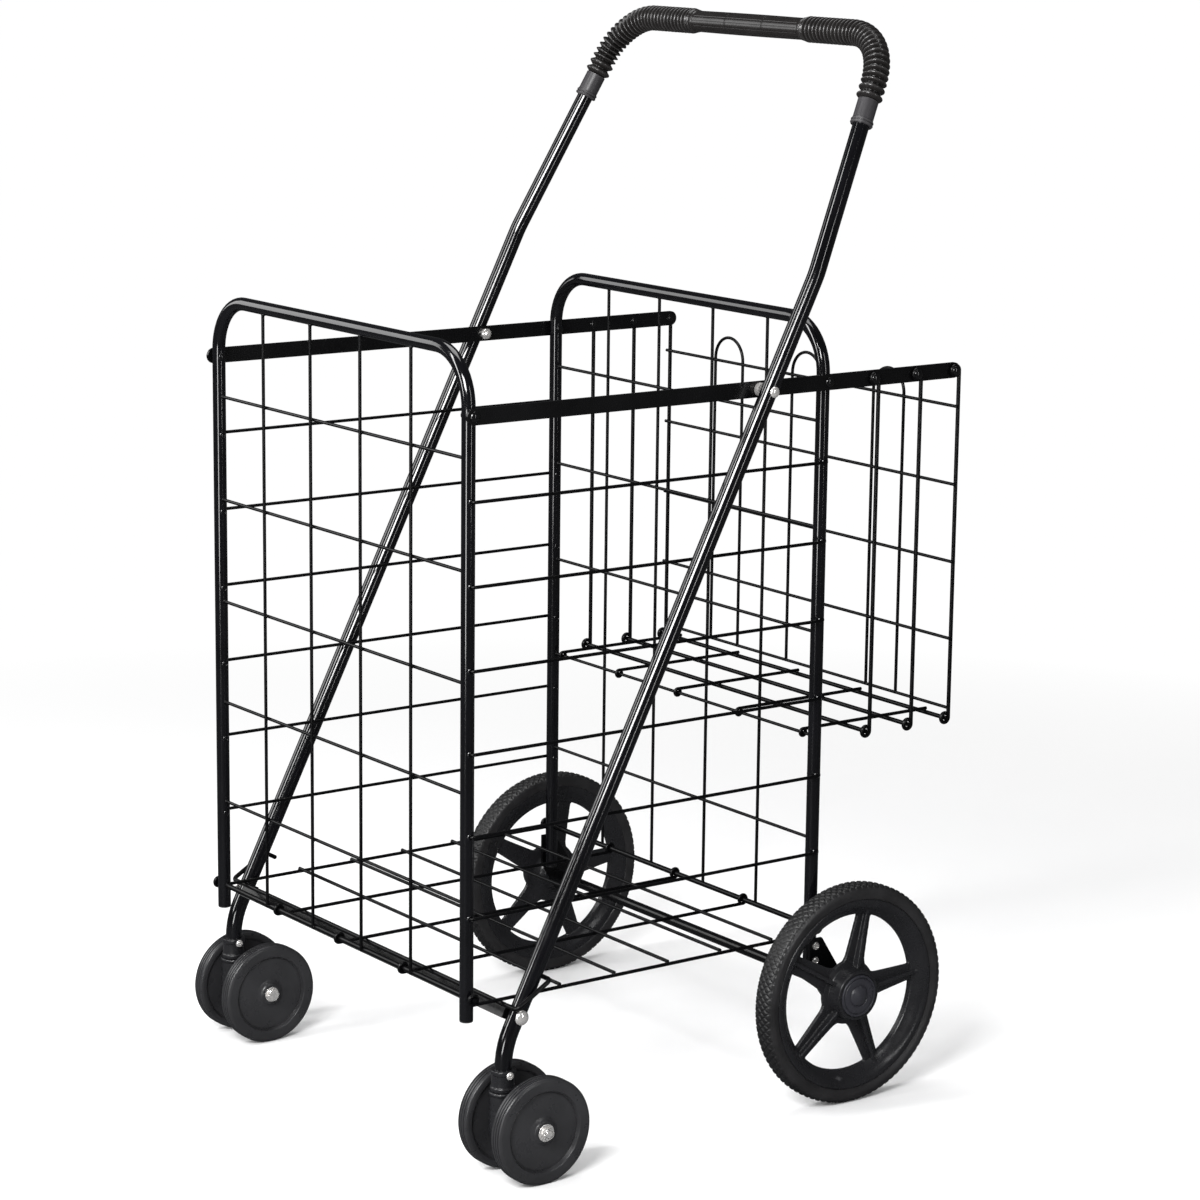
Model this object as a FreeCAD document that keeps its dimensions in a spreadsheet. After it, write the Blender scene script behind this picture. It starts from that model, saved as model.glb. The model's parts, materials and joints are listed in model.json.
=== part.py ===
import FreeCAD, Part
import Sketcher

import math
import os
import re

# A folding shopping trolley: two upright wire panels joined by flat side bars, side wires and a wire
# floor that all swing together, a handle whose tubes run down to swivel casters, two big rear wheels
# and a second, hanging basket behind the rear panel.
# Millimetres. +X is the trolley's left as it is pushed, +Y is rearward, +Z is up. The origin is on
# the ground, under the middle of the trolley's box.

SIZES = {
    # upright panels: bent tubes with wires welded between them
    "front_y": -277.0,
    "rear_y": 123.4,
    "tube_half": 217.65,
    "tube_radius": 6.35,
    "tube_wall": 1.0,
    "tube_top": 760.0,
    "tube_bend": 50.0,
    "front_tube_end": 150.0,
    "rear_tube_end": 128.0,
    "wire_radius": 1.4,
    "panel_wire_inner": 43.5,
    "panel_wire_outer": 129.0,
    "panel_wire_top": 665.0,
    "panel_wire_pitch": 101.6,
    "hinge_rod_height": 171.5,
    "hinge_rod_radius": 2.5,
    "hinge_rod_half": 231.5,
    # flat side bars
    "bar_height": 703.6,
    "bar_inner_x": 225.0,
    "bar_thickness": 3.0,
    "bar_depth": 15.0,
    "bar_overhang": 8.0,
    "rivet_radius": 2.5,
    "rivet_head_radius": 5.0,
    "rivet_head_height": 2.6,
    "rivet_play": 0.08,
    # side wires
    "side_wire_pitch": 76.2,
    "side_wire_radius": 1.5,
    "side_wire_x": 226.0,
    "side_wire_tip": 214.0,
    "side_wire_play": 0.3,
    # main floor
    "floor_drop": 4.4,
    "floor_wire_spacing": 112.0,
    "floor_side_x": 229.1,
    "floor_wire_radius": 1.5,
    "floor_cross_first": 95.0,
    "floor_cross_pitch": 62.0,
    # handle
    "handle_half": 242.0,
    "handle_radius": 8.0,
    "handle_wall": 1.2,
    "handle_lean": 26.8,
    "pivot_y": 39.4,
    "kink_run": 117.0,
    "kink_bend": 90.0,
    "handle_taper": 8.3,
    "handle_top_run": 357.5,
    "handle_top_bend": 57.0,
    "joint_run": 96.0,
    "stem_y": -252.9,
    "stem_end": 100.0,
    "stem_bend": 80.0,
    "bolt_radius": 3.0,
    "brace_bolt_run": 616.1,
    "brace_depth": 14.0,
    "brace_thickness": 2.0,
    "grip_wall": 2.6,
    "grip_play": 0.05,
    # guide rod that slides on the handle tubes
    "guide_height": 163.2,
    "guide_offset": 11.1,
    "guide_radius": 2.0,
    # casters
    "socket_top": 106.0,
    "socket_bottom": 86.0,
    "socket_wall": 3.6,
    "socket_screw_height": 102.0,
    "screw_radius": 2.0,
    "stem_pin_radius": 4.0,
    "fork_boss_radius": 13.0,
    "fork_hub_radius": 15.0,
    "fork_half": 17.0,
    "caster_radius": 50.5,
    "caster_trail": 23.4,
    "caster_width": 15.5,
    "caster_gap_half": 19.3,
    "caster_axle_radius": 4.0,
    "running_play": 0.2,
    # rear wheels
    "axle_y": 145.3,
    "axle_height": 109.2,
    "axle_radius": 5.0,
    "tyre_inner_x": 241.0,
    "tyre_width": 23.3,
    "rim_radius": 99.0,
    "axle_half": 267.0,
    "hub_inset": 3.0,
    "bracket_thickness": 3.0,
    "bracket_top": 160.0,
    # rear basket
    "basket_height": 360.5,
    "basket_row_one": 176.2,
    "basket_row_two": 228.9,
    "basket_row_three": 277.0,
    "basket_eye": 4.6,
    "basket_hook": 3.3,
    "basket_rod_x": 230.6,
    "basket_rod_radius": 1.8,
    "cross_rod_radius": 2.0,
    "basket_wire_spacing": 100.0,
    "back_wire_top": 668.6,
    "hairpin_spacing": 128.0,
    "hairpin_half": 23.0,
    "hairpin_top": 693.5,
}

doc = FreeCAD.newDocument("shopping_trolley")
sheet = doc.addObject("Spreadsheet::Sheet", "Sizes")
for row, (word, value) in enumerate(SIZES.items(), start=1):
    sheet.set(f"A{row}", word)
    sheet.set(f"B{row}", str(value))
    sheet.setAlias(f"B{row}", word)
doc.recompute()

X_AXIS = FreeCAD.Vector(1, 0, 0)
Y_AXIS = FreeCAD.Vector(0, 1, 0)
Z_AXIS = FreeCAD.Vector(0, 0, 1)
TURNS = {
    "x": FreeCAD.Rotation(Y_AXIS, 90),
    "y": FreeCAD.Rotation(X_AXIS, -90),
    "z": FreeCAD.Rotation(),
}
SIDES = (-1, 1)
subparts = []


def size(word):
    """A driving size, read from the sheet."""
    return float(sheet.get(word))


def bind(thing, prop, expression):
    """Binds a property to an expression written with the sheet's words."""
    def spell(match):
        word = match.group(0)
        return f"Sizes.{word}" if word in SIZES else word

    thing.setExpression(prop, re.sub(r"[a-z_]+", spell, expression))


def place(thing, x="0", y="0", z="0", turn=None):
    """Puts an object at a point given by expressions, with a fixed turn."""
    thing.Placement = FreeCAD.Placement(FreeCAD.Vector(), turn or FreeCAD.Rotation())
    for letter, expression in zip("xyz", (x, y, z)):
        bind(thing, f"Placement.Base.{letter}", expression)
    return thing


def keep(thing, label):
    """Marks an object as a finished sub-part."""
    thing.Label = label
    subparts.append(thing)
    return thing


# ---------- primitives and booleans ----------

def rod(axis, x, y, z, length, radius):
    """A round bar that starts at a point and runs along one row axis."""
    bar = doc.addObject("Part::Cylinder", "rod")
    bind(bar, "Height", length)
    bind(bar, "Radius", radius)
    return place(bar, x, y, z, TURNS[axis])


def block(x, y, z, length, width, height):
    """A box from its lowest corner."""
    box = doc.addObject("Part::Box", "block")
    bind(box, "Length", length)
    bind(box, "Width", width)
    bind(box, "Height", height)
    return place(box, x, y, z)


def fuse(*things):
    joined = doc.addObject("Part::MultiFuse", "joined")
    joined.Shapes = list(things)
    return joined


def group(*things):
    """Separate solids that share one node."""
    together = doc.addObject("Part::Compound", "group")
    together.Links = list(things)
    return together


def cut(base, *tools):
    result = doc.addObject("Part::Cut", "cut")
    result.Base = base
    result.Tool = tools[0] if len(tools) == 1 else fuse(*tools)
    return result


def signed(side, expression):
    """The expression on the left side, or its negative on the right side."""
    return expression if side > 0 else f"-({expression})"


def spanning(side, near, far, y, z, radius):
    """A round bar across the trolley, between two distances from its middle, on one side."""
    first, last = (near, far) if side > 0 else (f"-({far})", f"-({near})")
    return rod("x", f"min({first}; {last})", y, z, f"abs(({last}) - ({first}))", radius)


def side_name(side):
    return "left" if side > 0 else "right"


def facing(side):
    """The turn that points a part's own +X to one side of the trolley."""
    return FreeCAD.Rotation() if side > 0 else FreeCAD.Rotation(Z_AXIS, 180)


def crown(side, face, y, z, radius, height):
    """The low sloping crown of a rivet or bolt head, from a face outward."""
    cone = doc.addObject("Part::Cone", "crown")
    bind(cone, "Radius1", radius)
    bind(cone, "Radius2", f"({radius}) * 0.5")
    bind(cone, "Height", height)
    return place(cone, signed(side, face), y, z, FreeCAD.Rotation(Y_AXIS, 90 * side))


def rivet(side, inner, outer, y, z="bar_height"):
    """A rivet through a flat strip: a shank, a low head outside and an upset tail inside."""
    shank = spanning(side, inner, outer, y, z, "rivet_radius")
    head = spanning(side, outer, f"{outer} + 1.2", y, z, "rivet_head_radius")
    top = crown(side, f"{outer} + 1.1", y, z, "rivet_head_radius", "rivet_head_height - 1.2")
    tail = spanning(side, f"{inner} - 1.5", f"{inner} + 0.2", y, z, "rivet_radius + 1.5")
    return fuse(shank, head, top, tail)


# ---------- bent wires and sleeves ----------

def rounded_path(points, bend):
    """Straight runs between points, with every corner rounded to one radius."""
    corners = [FreeCAD.Vector(*point) for point in points]
    edges = []
    start = corners[0]
    for before, corner, after in zip(corners, corners[1:], corners[2:]):
        arriving = (corner - before).normalize()
        leaving = (after - corner).normalize()
        half_turn = arriving.getAngle(leaving) / 2
        setback = bend * math.tan(half_turn)
        arc_start = corner - arriving * setback
        arc_end = corner + leaving * setback
        inward = (leaving - arriving).normalize()
        arc_middle = corner + inward * (bend / math.cos(half_turn) - bend)
        edges.append(Part.LineSegment(start, arc_start).toShape())
        edges.append(Part.Arc(arc_start, arc_middle, arc_end).toShape())
        start = arc_end
    edges.append(Part.LineSegment(start, corners[-1]).toShape())
    return Part.Wire(edges)


def swept_rod(path_shape, radius):
    """A round bar swept along a path. The radius is an expression."""
    path = doc.addObject("Part::Feature", "path")
    path.Shape = path_shape
    section = doc.addObject("Part::Circle", "section")
    bind(section, "Radius", radius)
    first_edge = path_shape.OrderedEdges[0]
    first = path_shape.OrderedVertexes[0].Point
    along = first_edge.tangentAt(first_edge.FirstParameter)
    section.Placement = FreeCAD.Placement(first, FreeCAD.Rotation(Z_AXIS, along))
    sweep = doc.addObject("Part::Sweep", "sweep")
    sweep.Sections = [section]
    sweep.Spine = (path, [f"Edge{n + 1}" for n in range(len(path_shape.Edges))])
    sweep.Solid = True
    sweep.Frenet = False
    return sweep


def bent_rod(points, bend, radius):
    """A round bar along straight runs joined by bends of one radius."""
    return swept_rod(rounded_path(points, bend), radius)


EYE_TURN = math.radians(305)


def eye_arc(centre, to_run, along, eye_radius):
    """An eye's arc that ends where the straight run leaves it, towards along."""
    centre = FreeCAD.Vector(*centre)
    out = FreeCAD.Vector(*to_run)
    back = FreeCAD.Vector(*along).negative()

    def at(angle):
        return centre + (out * math.cos(angle) + back * math.sin(angle)) * eye_radius

    return Part.Arc(at(EYE_TURN), at(EYE_TURN / 2), at(0)).toShape()


def eyed_rod(start, end, out, eye_radius, radius, eyes=(True, True)):
    """A rod between two pins with an eye round each pin; out points from a pin to the rod's line."""
    first = FreeCAD.Vector(*start)
    last = FreeCAD.Vector(*end)
    along = (last - first).normalize()
    offset = FreeCAD.Vector(*out) * eye_radius
    edges = []
    if eyes[0]:
        edges.append(eye_arc(first, out, along, eye_radius))
    edges.append(Part.LineSegment(first + offset, last + offset).toShape())
    if eyes[1]:
        closing = eye_arc(last, out, along.negative(), eye_radius)
        edges.append(closing)
    return swept_rod(Part.Wire(Part.__sortEdges__(edges)), radius)


# ---------- sketched bodies ----------

def origin_plane(body, role):
    return next(feature for feature in body.Origin.OriginFeatures if feature.Role == role)


def sketch_on(body, name, role):
    sketch = body.newObject("Sketcher::SketchObject", name)
    sketch.AttachmentSupport = [(origin_plane(body, role), "")]
    sketch.MapMode = "FlatFace"
    return sketch


def hold(sketch, kind, *where, expression=None, start=1.0):
    """Adds a constraint, with its value bound to the sheet when it has one."""
    if expression is None:
        sketch.addConstraint(Sketcher.Constraint(kind, *where))
        return
    index = sketch.addConstraint(Sketcher.Constraint(kind, *where, start))
    bind(sketch, f"Constraints[{index}]", expression)


def circle(sketch, x, y, radius):
    """A circle whose centre and radius are (expression, starting number) pairs."""
    centre = FreeCAD.Vector(x[1], y[1], 0)
    index = sketch.addGeometry(Part.Circle(centre, Z_AXIS, radius[1]))
    hold(sketch, "DistanceX", index, 3, expression=x[0], start=x[1])
    hold(sketch, "DistanceY", index, 3, expression=y[0], start=y[1])
    hold(sketch, "Radius", index, expression=radius[0], start=radius[1])
    return index


def outline(sketch, corners):
    """A closed outline with straight edges; each corner is a pair of (expression, number) pairs."""
    vectors = [FreeCAD.Vector(u[1], v[1], 0) for u, v in corners]
    count = len(vectors)
    for index in range(count):
        sketch.addGeometry(Part.LineSegment(vectors[index], vectors[(index + 1) % count]))
    for index in range(count):
        hold(sketch, "Coincident", index, 2, (index + 1) % count, 1)
    for index, (u, v) in enumerate(corners):
        hold(sketch, "DistanceX", index, 1, expression=u[0], start=u[1])
        hold(sketch, "DistanceY", index, 1, expression=v[0], start=v[1])


def amount(expression):
    """An expression of sums of sheet words and numbers, as the pair (expression, number)."""
    total = 0.0
    for sign, term in re.findall(r"([+-]?)\s*([a-z_]+|[0-9.]+)", expression):
        number = SIZES[term] if term in SIZES else float(term)
        total += -number if sign == "-" else number
    return expression, total


def turned(label, corners):
    """A body turned about its own X axis. Each corner is (distance along X, radius)."""
    body = doc.addObject("PartDesign::Body", label + "_body")
    sketch = sketch_on(body, label + "_outline", "XY_Plane")
    outline(sketch, [(amount(along), amount(radius)) for along, radius in corners])
    turn = body.newObject("PartDesign::Revolution", label + "_turn")
    turn.Profile = sketch
    turn.ReferenceAxis = (origin_plane(body, "X_Axis"), [""])
    turn.Angle = 360
    body.Tip = turn
    return body


def pipe_body(label, outer, wall, centre_x, start_z, draw_spine):
    """A hollow tube swept up from a round section; draw_spine lays out its centre line."""
    body = doc.addObject("PartDesign::Body", label + "_body")
    section = sketch_on(body, label + "_section", "XY_Plane")
    bind(section, "AttachmentOffset.Base.z", start_z)
    x = amount(centre_x)
    radius = amount(outer)
    bore = (f"{outer} - {wall}", SIZES[outer] - SIZES[wall])
    circle(section, x, ("0", 0.0), radius)
    circle(section, x, ("0", 0.0), bore)
    spine = draw_spine(body)
    doc.recompute()
    tube = body.newObject("PartDesign::AdditivePipe", label + "_pipe")
    tube.Profile = section
    tube.Spine = spine
    tube.Mode = "Standard"
    body.Tip = tube
    return body


def hoop_spine(end_word):
    """The centre line of a panel tube: up, across and down again."""
    def draw(body):
        half = size("tube_half")
        top = size("tube_top")
        bend = size("tube_bend")
        low = size(end_word)
        spine = sketch_on(body, "hoop_path", "XZ_Plane")
        point = FreeCAD.Vector
        spine.addGeometry(Part.LineSegment(point(-half, low, 0), point(-half, top - bend, 0)))
        left = Part.Circle(point(-half + bend, top - bend, 0), Z_AXIS, bend)
        spine.addGeometry(Part.ArcOfCircle(left, math.pi / 2, math.pi))
        spine.addGeometry(Part.LineSegment(point(-half + bend, top, 0), point(half - bend, top, 0)))
        right = Part.Circle(point(half - bend, top - bend, 0), Z_AXIS, bend)
        spine.addGeometry(Part.ArcOfCircle(right, 0, math.pi / 2))
        spine.addGeometry(Part.LineSegment(point(half, top - bend, 0), point(half, low, 0)))
        hold(spine, "Tangent", 0, 2, 1, 2)
        hold(spine, "Tangent", 1, 1, 2, 1)
        hold(spine, "Tangent", 2, 2, 3, 2)
        hold(spine, "Tangent", 3, 1, 4, 1)
        hold(spine, "Vertical", 0)
        hold(spine, "Vertical", 4)
        hold(spine, "Horizontal", 2)
        hold(spine, "Radius", 1, expression="tube_bend", start=bend)
        hold(spine, "Equal", 1, 3)
        hold(spine, "DistanceX", 0, 1, expression="-tube_half", start=-half)
        hold(spine, "DistanceX", 4, 2, expression="tube_half", start=half)
        hold(spine, "DistanceY", 0, 1, expression=end_word, start=low)
        hold(spine, "DistanceY", 4, 2, expression=end_word, start=low)
        hold(spine, "DistanceY", 2, 1, expression="tube_top", start=top)
        return spine
    return draw


# ---------- upright panels ----------

SIDE_WIRE_ROWS = range(1, 7)
PANEL_ROWS = range(5)


def side_wire_height(number):
    return f"bar_height - {number} * side_wire_pitch"


def panel_tube(label, y, end_word):
    """A hoop of tube, drilled for the bar rivets, the hinge rod and the side wires' ends."""
    hoop = pipe_body(label, "tube_radius", "tube_wall", "-tube_half", end_word, hoop_spine(end_word))
    place(hoop, y=y)
    holes = [
        rod("x", "-tube_half - 20", y, "bar_height", "2 * tube_half + 40", "rivet_radius + 0.02"),
    ]
    for side in SIDES:
        start = "tube_half" if side > 0 else "-tube_half - 12"
        for number in SIDE_WIRE_ROWS:
            z = side_wire_height(number)
            holes.append(rod("x", start, y, z, "12", "side_wire_radius + side_wire_play"))
    return keep(cut(hoop, *holes), label)


def panel_wires(label, y, outward):
    """The welded grid between a panel's tubes; its uprights lie on the outward face."""
    upright_y = f"{y} + {outward * 2.7}"
    wires = []
    for row in PANEL_ROWS:
        height = f"panel_wire_top - {row} * panel_wire_pitch"
        start = "-tube_half + tube_radius - 0.9"
        wires.append(rod("x", start, y, height, "2 * (tube_half - tube_radius + 0.9)", "wire_radius"))
    for word in ("panel_wire_inner", "panel_wire_outer"):
        for side in ("-", ""):
            length = "tube_top - tube_radius + 0.9 - hinge_rod_height + 0.8"
            wires.append(rod("z", side + word, upright_y, "hinge_rod_height - 0.8", length, "wire_radius"))
    return keep(fuse(*wires), label)


def hinge_rod(label, y):
    """The straight rod through a panel's tubes that the floor's eyes turn on."""
    bar = rod("x", "-hinge_rod_half", y, "hinge_rod_height", "2 * hinge_rod_half", "hinge_rod_radius")
    return keep(bar, label)


def bar_rivets(label, y):
    """The two rivets that pin a panel's tubes to the side bars."""
    inner = "tube_half - tube_radius - 0.2"
    outer = "bar_inner_x + bar_thickness + 0.3"
    return keep(group(*[rivet(side, inner, outer, y) for side in SIDES]), label)


def tube_plugs(label, y, end_word):
    """Plastic plugs in a panel tube's open ends."""
    plugs = []
    for sign in ("-", ""):
        cap = rod("z", sign + "tube_half", y, f"{end_word} - 2", "1.9", "tube_radius")
        stub = rod("z", sign + "tube_half", y, f"{end_word} - 1", "11", "tube_radius - tube_wall - 0.05")
        plugs.append(fuse(cap, stub))
    return keep(group(*plugs), label)


panel_tube("rear_tube", "rear_y", "rear_tube_end")
panel_wires("rear_panel_wires", "rear_y", 1)
hinge_rod("rear_hinge_rod", "rear_y")
bar_rivets("rear_pivot_rivets", "rear_y")
tube_plugs("rear_tube_plugs", "rear_y", "rear_tube_end")

panel_tube("front_tube", "front_y", "front_tube_end")
panel_wires("front_panel_wires", "front_y", -1)
hinge_rod("front_hinge_rod", "front_y")
bar_rivets("front_pivot_rivets", "front_y")
tube_plugs("front_tube_plugs", "front_y", "front_tube_end")


# ---------- side bars, side wires and floor ----------

BASKET_ROWS = ("basket_row_one", "basket_row_two", "basket_row_three")


def side_bar(label, side):
    """A flat strip with rounded ends, punched for its pivots."""
    body = doc.addObject("PartDesign::Body", label + "_body")
    sketch = sketch_on(body, label + "_outline", "YZ_Plane")
    radius = SIZES["bar_depth"] / 2
    low = SIZES["front_y"] - SIZES["bar_overhang"] + radius
    high = SIZES["basket_row_three"] + SIZES["bar_overhang"] - radius
    point = FreeCAD.Vector
    right_angle = math.pi / 2
    rear_end = Part.Circle(point(high, 0, 0), Z_AXIS, radius)
    front_end = Part.Circle(point(low, 0, 0), Z_AXIS, radius)
    sketch.addGeometry(Part.LineSegment(point(low, radius, 0), point(high, radius, 0)))
    sketch.addGeometry(Part.ArcOfCircle(rear_end, -right_angle, right_angle))
    sketch.addGeometry(Part.LineSegment(point(high, -radius, 0), point(low, -radius, 0)))
    sketch.addGeometry(Part.ArcOfCircle(front_end, right_angle, 3 * right_angle))
    hold(sketch, "Tangent", 0, 2, 1, 2)
    hold(sketch, "Tangent", 1, 1, 2, 1)
    hold(sketch, "Tangent", 2, 2, 3, 2)
    hold(sketch, "Tangent", 3, 1, 0, 1)
    hold(sketch, "Horizontal", 0)
    hold(sketch, "Radius", 1, expression="bar_depth / 2", start=radius)
    hold(sketch, "DistanceY", 1, 3, expression="0", start=0.0)
    hold(sketch, "DistanceX", 1, 3, expression="basket_row_three + bar_overhang - bar_depth / 2", start=high)
    hold(sketch, "DistanceX", 3, 3, expression="front_y - bar_overhang + bar_depth / 2", start=low)
    for word in ("front_y", "rear_y") + BASKET_ROWS:
        circle(sketch, (word, SIZES[word]), ("0", 0.0),
               ("rivet_radius + rivet_play", SIZES["rivet_radius"] + SIZES["rivet_play"]))
    circle(sketch, ("pivot_y", SIZES["pivot_y"]), ("0", 0.0),
           ("bolt_radius + rivet_play", SIZES["bolt_radius"] + SIZES["rivet_play"]))
    pad = body.newObject("PartDesign::Pad", label + "_pad")
    pad.Profile = sketch
    bind(pad, "Length", "bar_thickness")
    body.Tip = pad
    place(body, "bar_inner_x" if side > 0 else "-(bar_inner_x + bar_thickness)", "0", "bar_height")
    return keep(body, label)


def basket_rivets():
    """The rivets at the bars' rear ends that the basket rods hang from."""
    outer = "basket_rod_x + basket_rod_radius + 0.3"
    rivets = [rivet(side, "bar_inner_x - 0.3", outer, word) for word in BASKET_ROWS for side in SIDES]
    return keep(group(*rivets), "basket_rivets")


def side_wire(number):
    """One wire on each side, with its ends turned in through the panel tubes."""
    height = SIZES["bar_height"] - number * SIZES["side_wire_pitch"]
    out = SIZES["side_wire_x"]
    tip = SIZES["side_wire_tip"]
    bend = 1.7 * SIZES["side_wire_radius"]
    wires = []
    for side in SIDES:
        points = [
            (side * tip, SIZES["front_y"], height),
            (side * out, SIZES["front_y"], height),
            (side * out, SIZES["rear_y"], height),
            (side * tip, SIZES["rear_y"], height),
        ]
        wires.append(bent_rod(points, bend, "side_wire_radius"))
    return keep(group(*wires), f"side_wire_{number}")


def floor_grid():
    """The wire floor: lengthwise wires with eyes round both hinge rods, and cross wires on top."""
    spacing = SIZES["floor_wire_spacing"]
    side = SIZES["floor_side_x"]
    height = SIZES["hinge_rod_height"]
    wires = []
    for x in (-side, -spacing, 0.0, spacing, side):
        front = (x, SIZES["front_y"], height)
        rear = (x, SIZES["rear_y"], height)
        wires.append(eyed_rod(front, rear, (0, 0, -1), SIZES["floor_drop"], "floor_wire_radius"))
    for row in range(5):
        y = f"front_y + floor_cross_first + {row} * floor_cross_pitch"
        cross_height = "hinge_rod_height - floor_drop + 1.9 * floor_wire_radius"
        cross_length = "2 * floor_side_x + 1.4"
        wires.append(rod("x", "-floor_side_x - 0.7", y, cross_height, cross_length, "floor_wire_radius"))
    return keep(fuse(*wires), "floor_grid")


side_bar("side_bar_left", 1)
side_bar("side_bar_right", -1)
basket_rivets()
for number in SIDE_WIRE_ROWS:
    side_wire(number)
floor_grid()


# ---------- handle ----------

LEAN = math.radians(SIZES["handle_lean"])
TAPER = math.radians(SIZES["handle_taper"])


def handle_frame(run=0.0, across=0.0):
    """A placement on the handle's axis: local Z runs up the tube, local X across the trolley."""
    along = FreeCAD.Vector(0, math.sin(LEAN), math.cos(LEAN))
    start = FreeCAD.Vector(across, size("pivot_y"), size("bar_height"))
    return FreeCAD.Placement(start + along * run, FreeCAD.Rotation(X_AXIS, -SIZES["handle_lean"]))


def top_corner_x():
    """Where the tapering leg's line meets the top bar's line."""
    return SIZES["handle_half"] - math.tan(TAPER) * (SIZES["handle_top_run"] - SIZES["kink_run"])


def handle_spine(body):
    """The upper handle's centre line: a leg, a kink inward, a corner and the top bar, mirrored."""
    half = SIZES["handle_half"]
    start = SIZES["joint_run"]
    kink = SIZES["kink_run"]
    kink_bend = SIZES["kink_bend"]
    top = SIZES["handle_top_run"]
    bend = SIZES["handle_top_bend"]
    setback = kink_bend * math.tan(TAPER / 2)
    corner = top_corner_x()
    corner_setback = bend * math.tan((math.pi / 2 - TAPER) / 2)
    low_end = (half, kink - setback)
    leg_start = (half - setback * math.sin(TAPER), kink + setback * math.cos(TAPER))
    leg_end = (corner + corner_setback * math.sin(TAPER), top - corner_setback * math.cos(TAPER))
    top_end = (corner - corner_setback, top)
    spine = sketch_on(body, "handle_path", "XZ_Plane")
    point = FreeCAD.Vector

    def line(a, b):
        spine.addGeometry(Part.LineSegment(point(a[0], a[1], 0), point(b[0], b[1], 0)))

    def arc(x, y, radius, first, last):
        spine.addGeometry(Part.ArcOfCircle(Part.Circle(point(x, y, 0), Z_AXIS, radius), first, last))

    def mirrored(p):
        return (-p[0], p[1])

    line((-half, start), mirrored(low_end))
    arc(-half + kink_bend, kink - setback, kink_bend, math.pi - TAPER, math.pi)
    line(mirrored(leg_start), mirrored(leg_end))
    arc(mirrored(top_end)[0], top - bend, bend, math.pi / 2, math.pi - TAPER)
    line(mirrored(top_end), top_end)
    arc(top_end[0], top - bend, bend, TAPER, math.pi / 2)
    line(leg_end, leg_start)
    arc(half - kink_bend, kink - setback, kink_bend, 0, TAPER)
    line(low_end, (half, start))
    for first, first_end, second, second_end in (
        (0, 2, 1, 2), (1, 1, 2, 1), (2, 2, 3, 2), (3, 1, 4, 1),
        (4, 2, 5, 2), (5, 1, 6, 1), (6, 2, 7, 2), (7, 1, 8, 1),
    ):
        hold(spine, "Tangent", first, first_end, second, second_end)
    hold(spine, "Vertical", 0)
    hold(spine, "Vertical", 8)
    hold(spine, "Horizontal", 4)
    hold(spine, "Radius", 1, expression="kink_bend", start=kink_bend)
    hold(spine, "Equal", 1, 7)
    hold(spine, "Radius", 3, expression="handle_top_bend", start=bend)
    hold(spine, "Equal", 3, 5)
    hold(spine, "DistanceX", 0, 1, expression="-handle_half", start=-half)
    hold(spine, "DistanceY", 0, 1, expression="joint_run", start=start)
    hold(spine, "DistanceX", 8, 2, expression="handle_half", start=half)
    hold(spine, "DistanceY", 8, 2, expression="joint_run", start=start)
    hold(spine, "DistanceY", 4, 1, expression="handle_top_run", start=top)
    low_height = "kink_run - kink_bend * tan(handle_taper / 2 * 1deg)"
    hold(spine, "DistanceY", 0, 2, expression=low_height, start=low_end[1])
    hold(spine, "DistanceY", 8, 1, expression=low_height, start=low_end[1])
    corner_x = "handle_half - tan(handle_taper * 1deg) * (handle_top_run - kink_run)"
    corner_back = "handle_top_bend * tan((90 - handle_taper) / 2 * 1deg)"
    hold(spine, "DistanceX", 4, 1, expression=f"-({corner_x} - {corner_back})", start=-top_end[0])
    hold(spine, "DistanceX", 4, 2, expression=f"{corner_x} - {corner_back}", start=top_end[0])
    return spine


def handle_upper_tube():
    """The bent upper part of the handle."""
    label = "handle_upper_tube"
    body = pipe_body(label, "handle_radius", "handle_wall", "-handle_half", "joint_run", handle_spine)
    body.Placement = handle_frame()
    return keep(body, "handle_upper_tube")


def stem_spine(body):
    """A lower tube's centre line: a short upright stem that bends back into the long leaning run."""
    low = SIZES["stem_end"]
    bend = SIZES["stem_bend"]
    stem_y = SIZES["stem_y"]
    vertex = SIZES["bar_height"] - (SIZES["pivot_y"] - stem_y) / math.tan(LEAN)
    setback = bend * math.tan(LEAN / 2)
    along = (math.sin(LEAN), math.cos(LEAN))
    top_y = SIZES["pivot_y"] + along[0] * SIZES["joint_run"]
    top_z = SIZES["bar_height"] + along[1] * SIZES["joint_run"]
    spine = sketch_on(body, "stem_path", "YZ_Plane")
    point = FreeCAD.Vector
    spine.addGeometry(Part.LineSegment(point(stem_y, low, 0), point(stem_y, vertex - setback, 0)))
    centre = point(stem_y + bend, vertex - setback, 0)
    spine.addGeometry(Part.ArcOfCircle(Part.Circle(centre, Z_AXIS, bend), math.pi - LEAN, math.pi))
    bend_end = point(stem_y + setback * along[0], vertex + setback * along[1], 0)
    spine.addGeometry(Part.LineSegment(bend_end, point(top_y, top_z, 0)))
    hold(spine, "Tangent", 0, 2, 1, 2)
    hold(spine, "Tangent", 1, 1, 2, 1)
    hold(spine, "Vertical", 0)
    hold(spine, "Radius", 1, expression="stem_bend", start=bend)
    hold(spine, "DistanceX", 0, 1, expression="stem_y", start=stem_y)
    hold(spine, "DistanceY", 0, 1, expression="stem_end", start=low)
    hold(spine, "DistanceX", 2, 2, expression="pivot_y + joint_run * sin(handle_lean * 1deg)", start=top_y)
    hold(spine, "DistanceY", 2, 2, expression="bar_height + joint_run * cos(handle_lean * 1deg)", start=top_z)
    return spine


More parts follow.
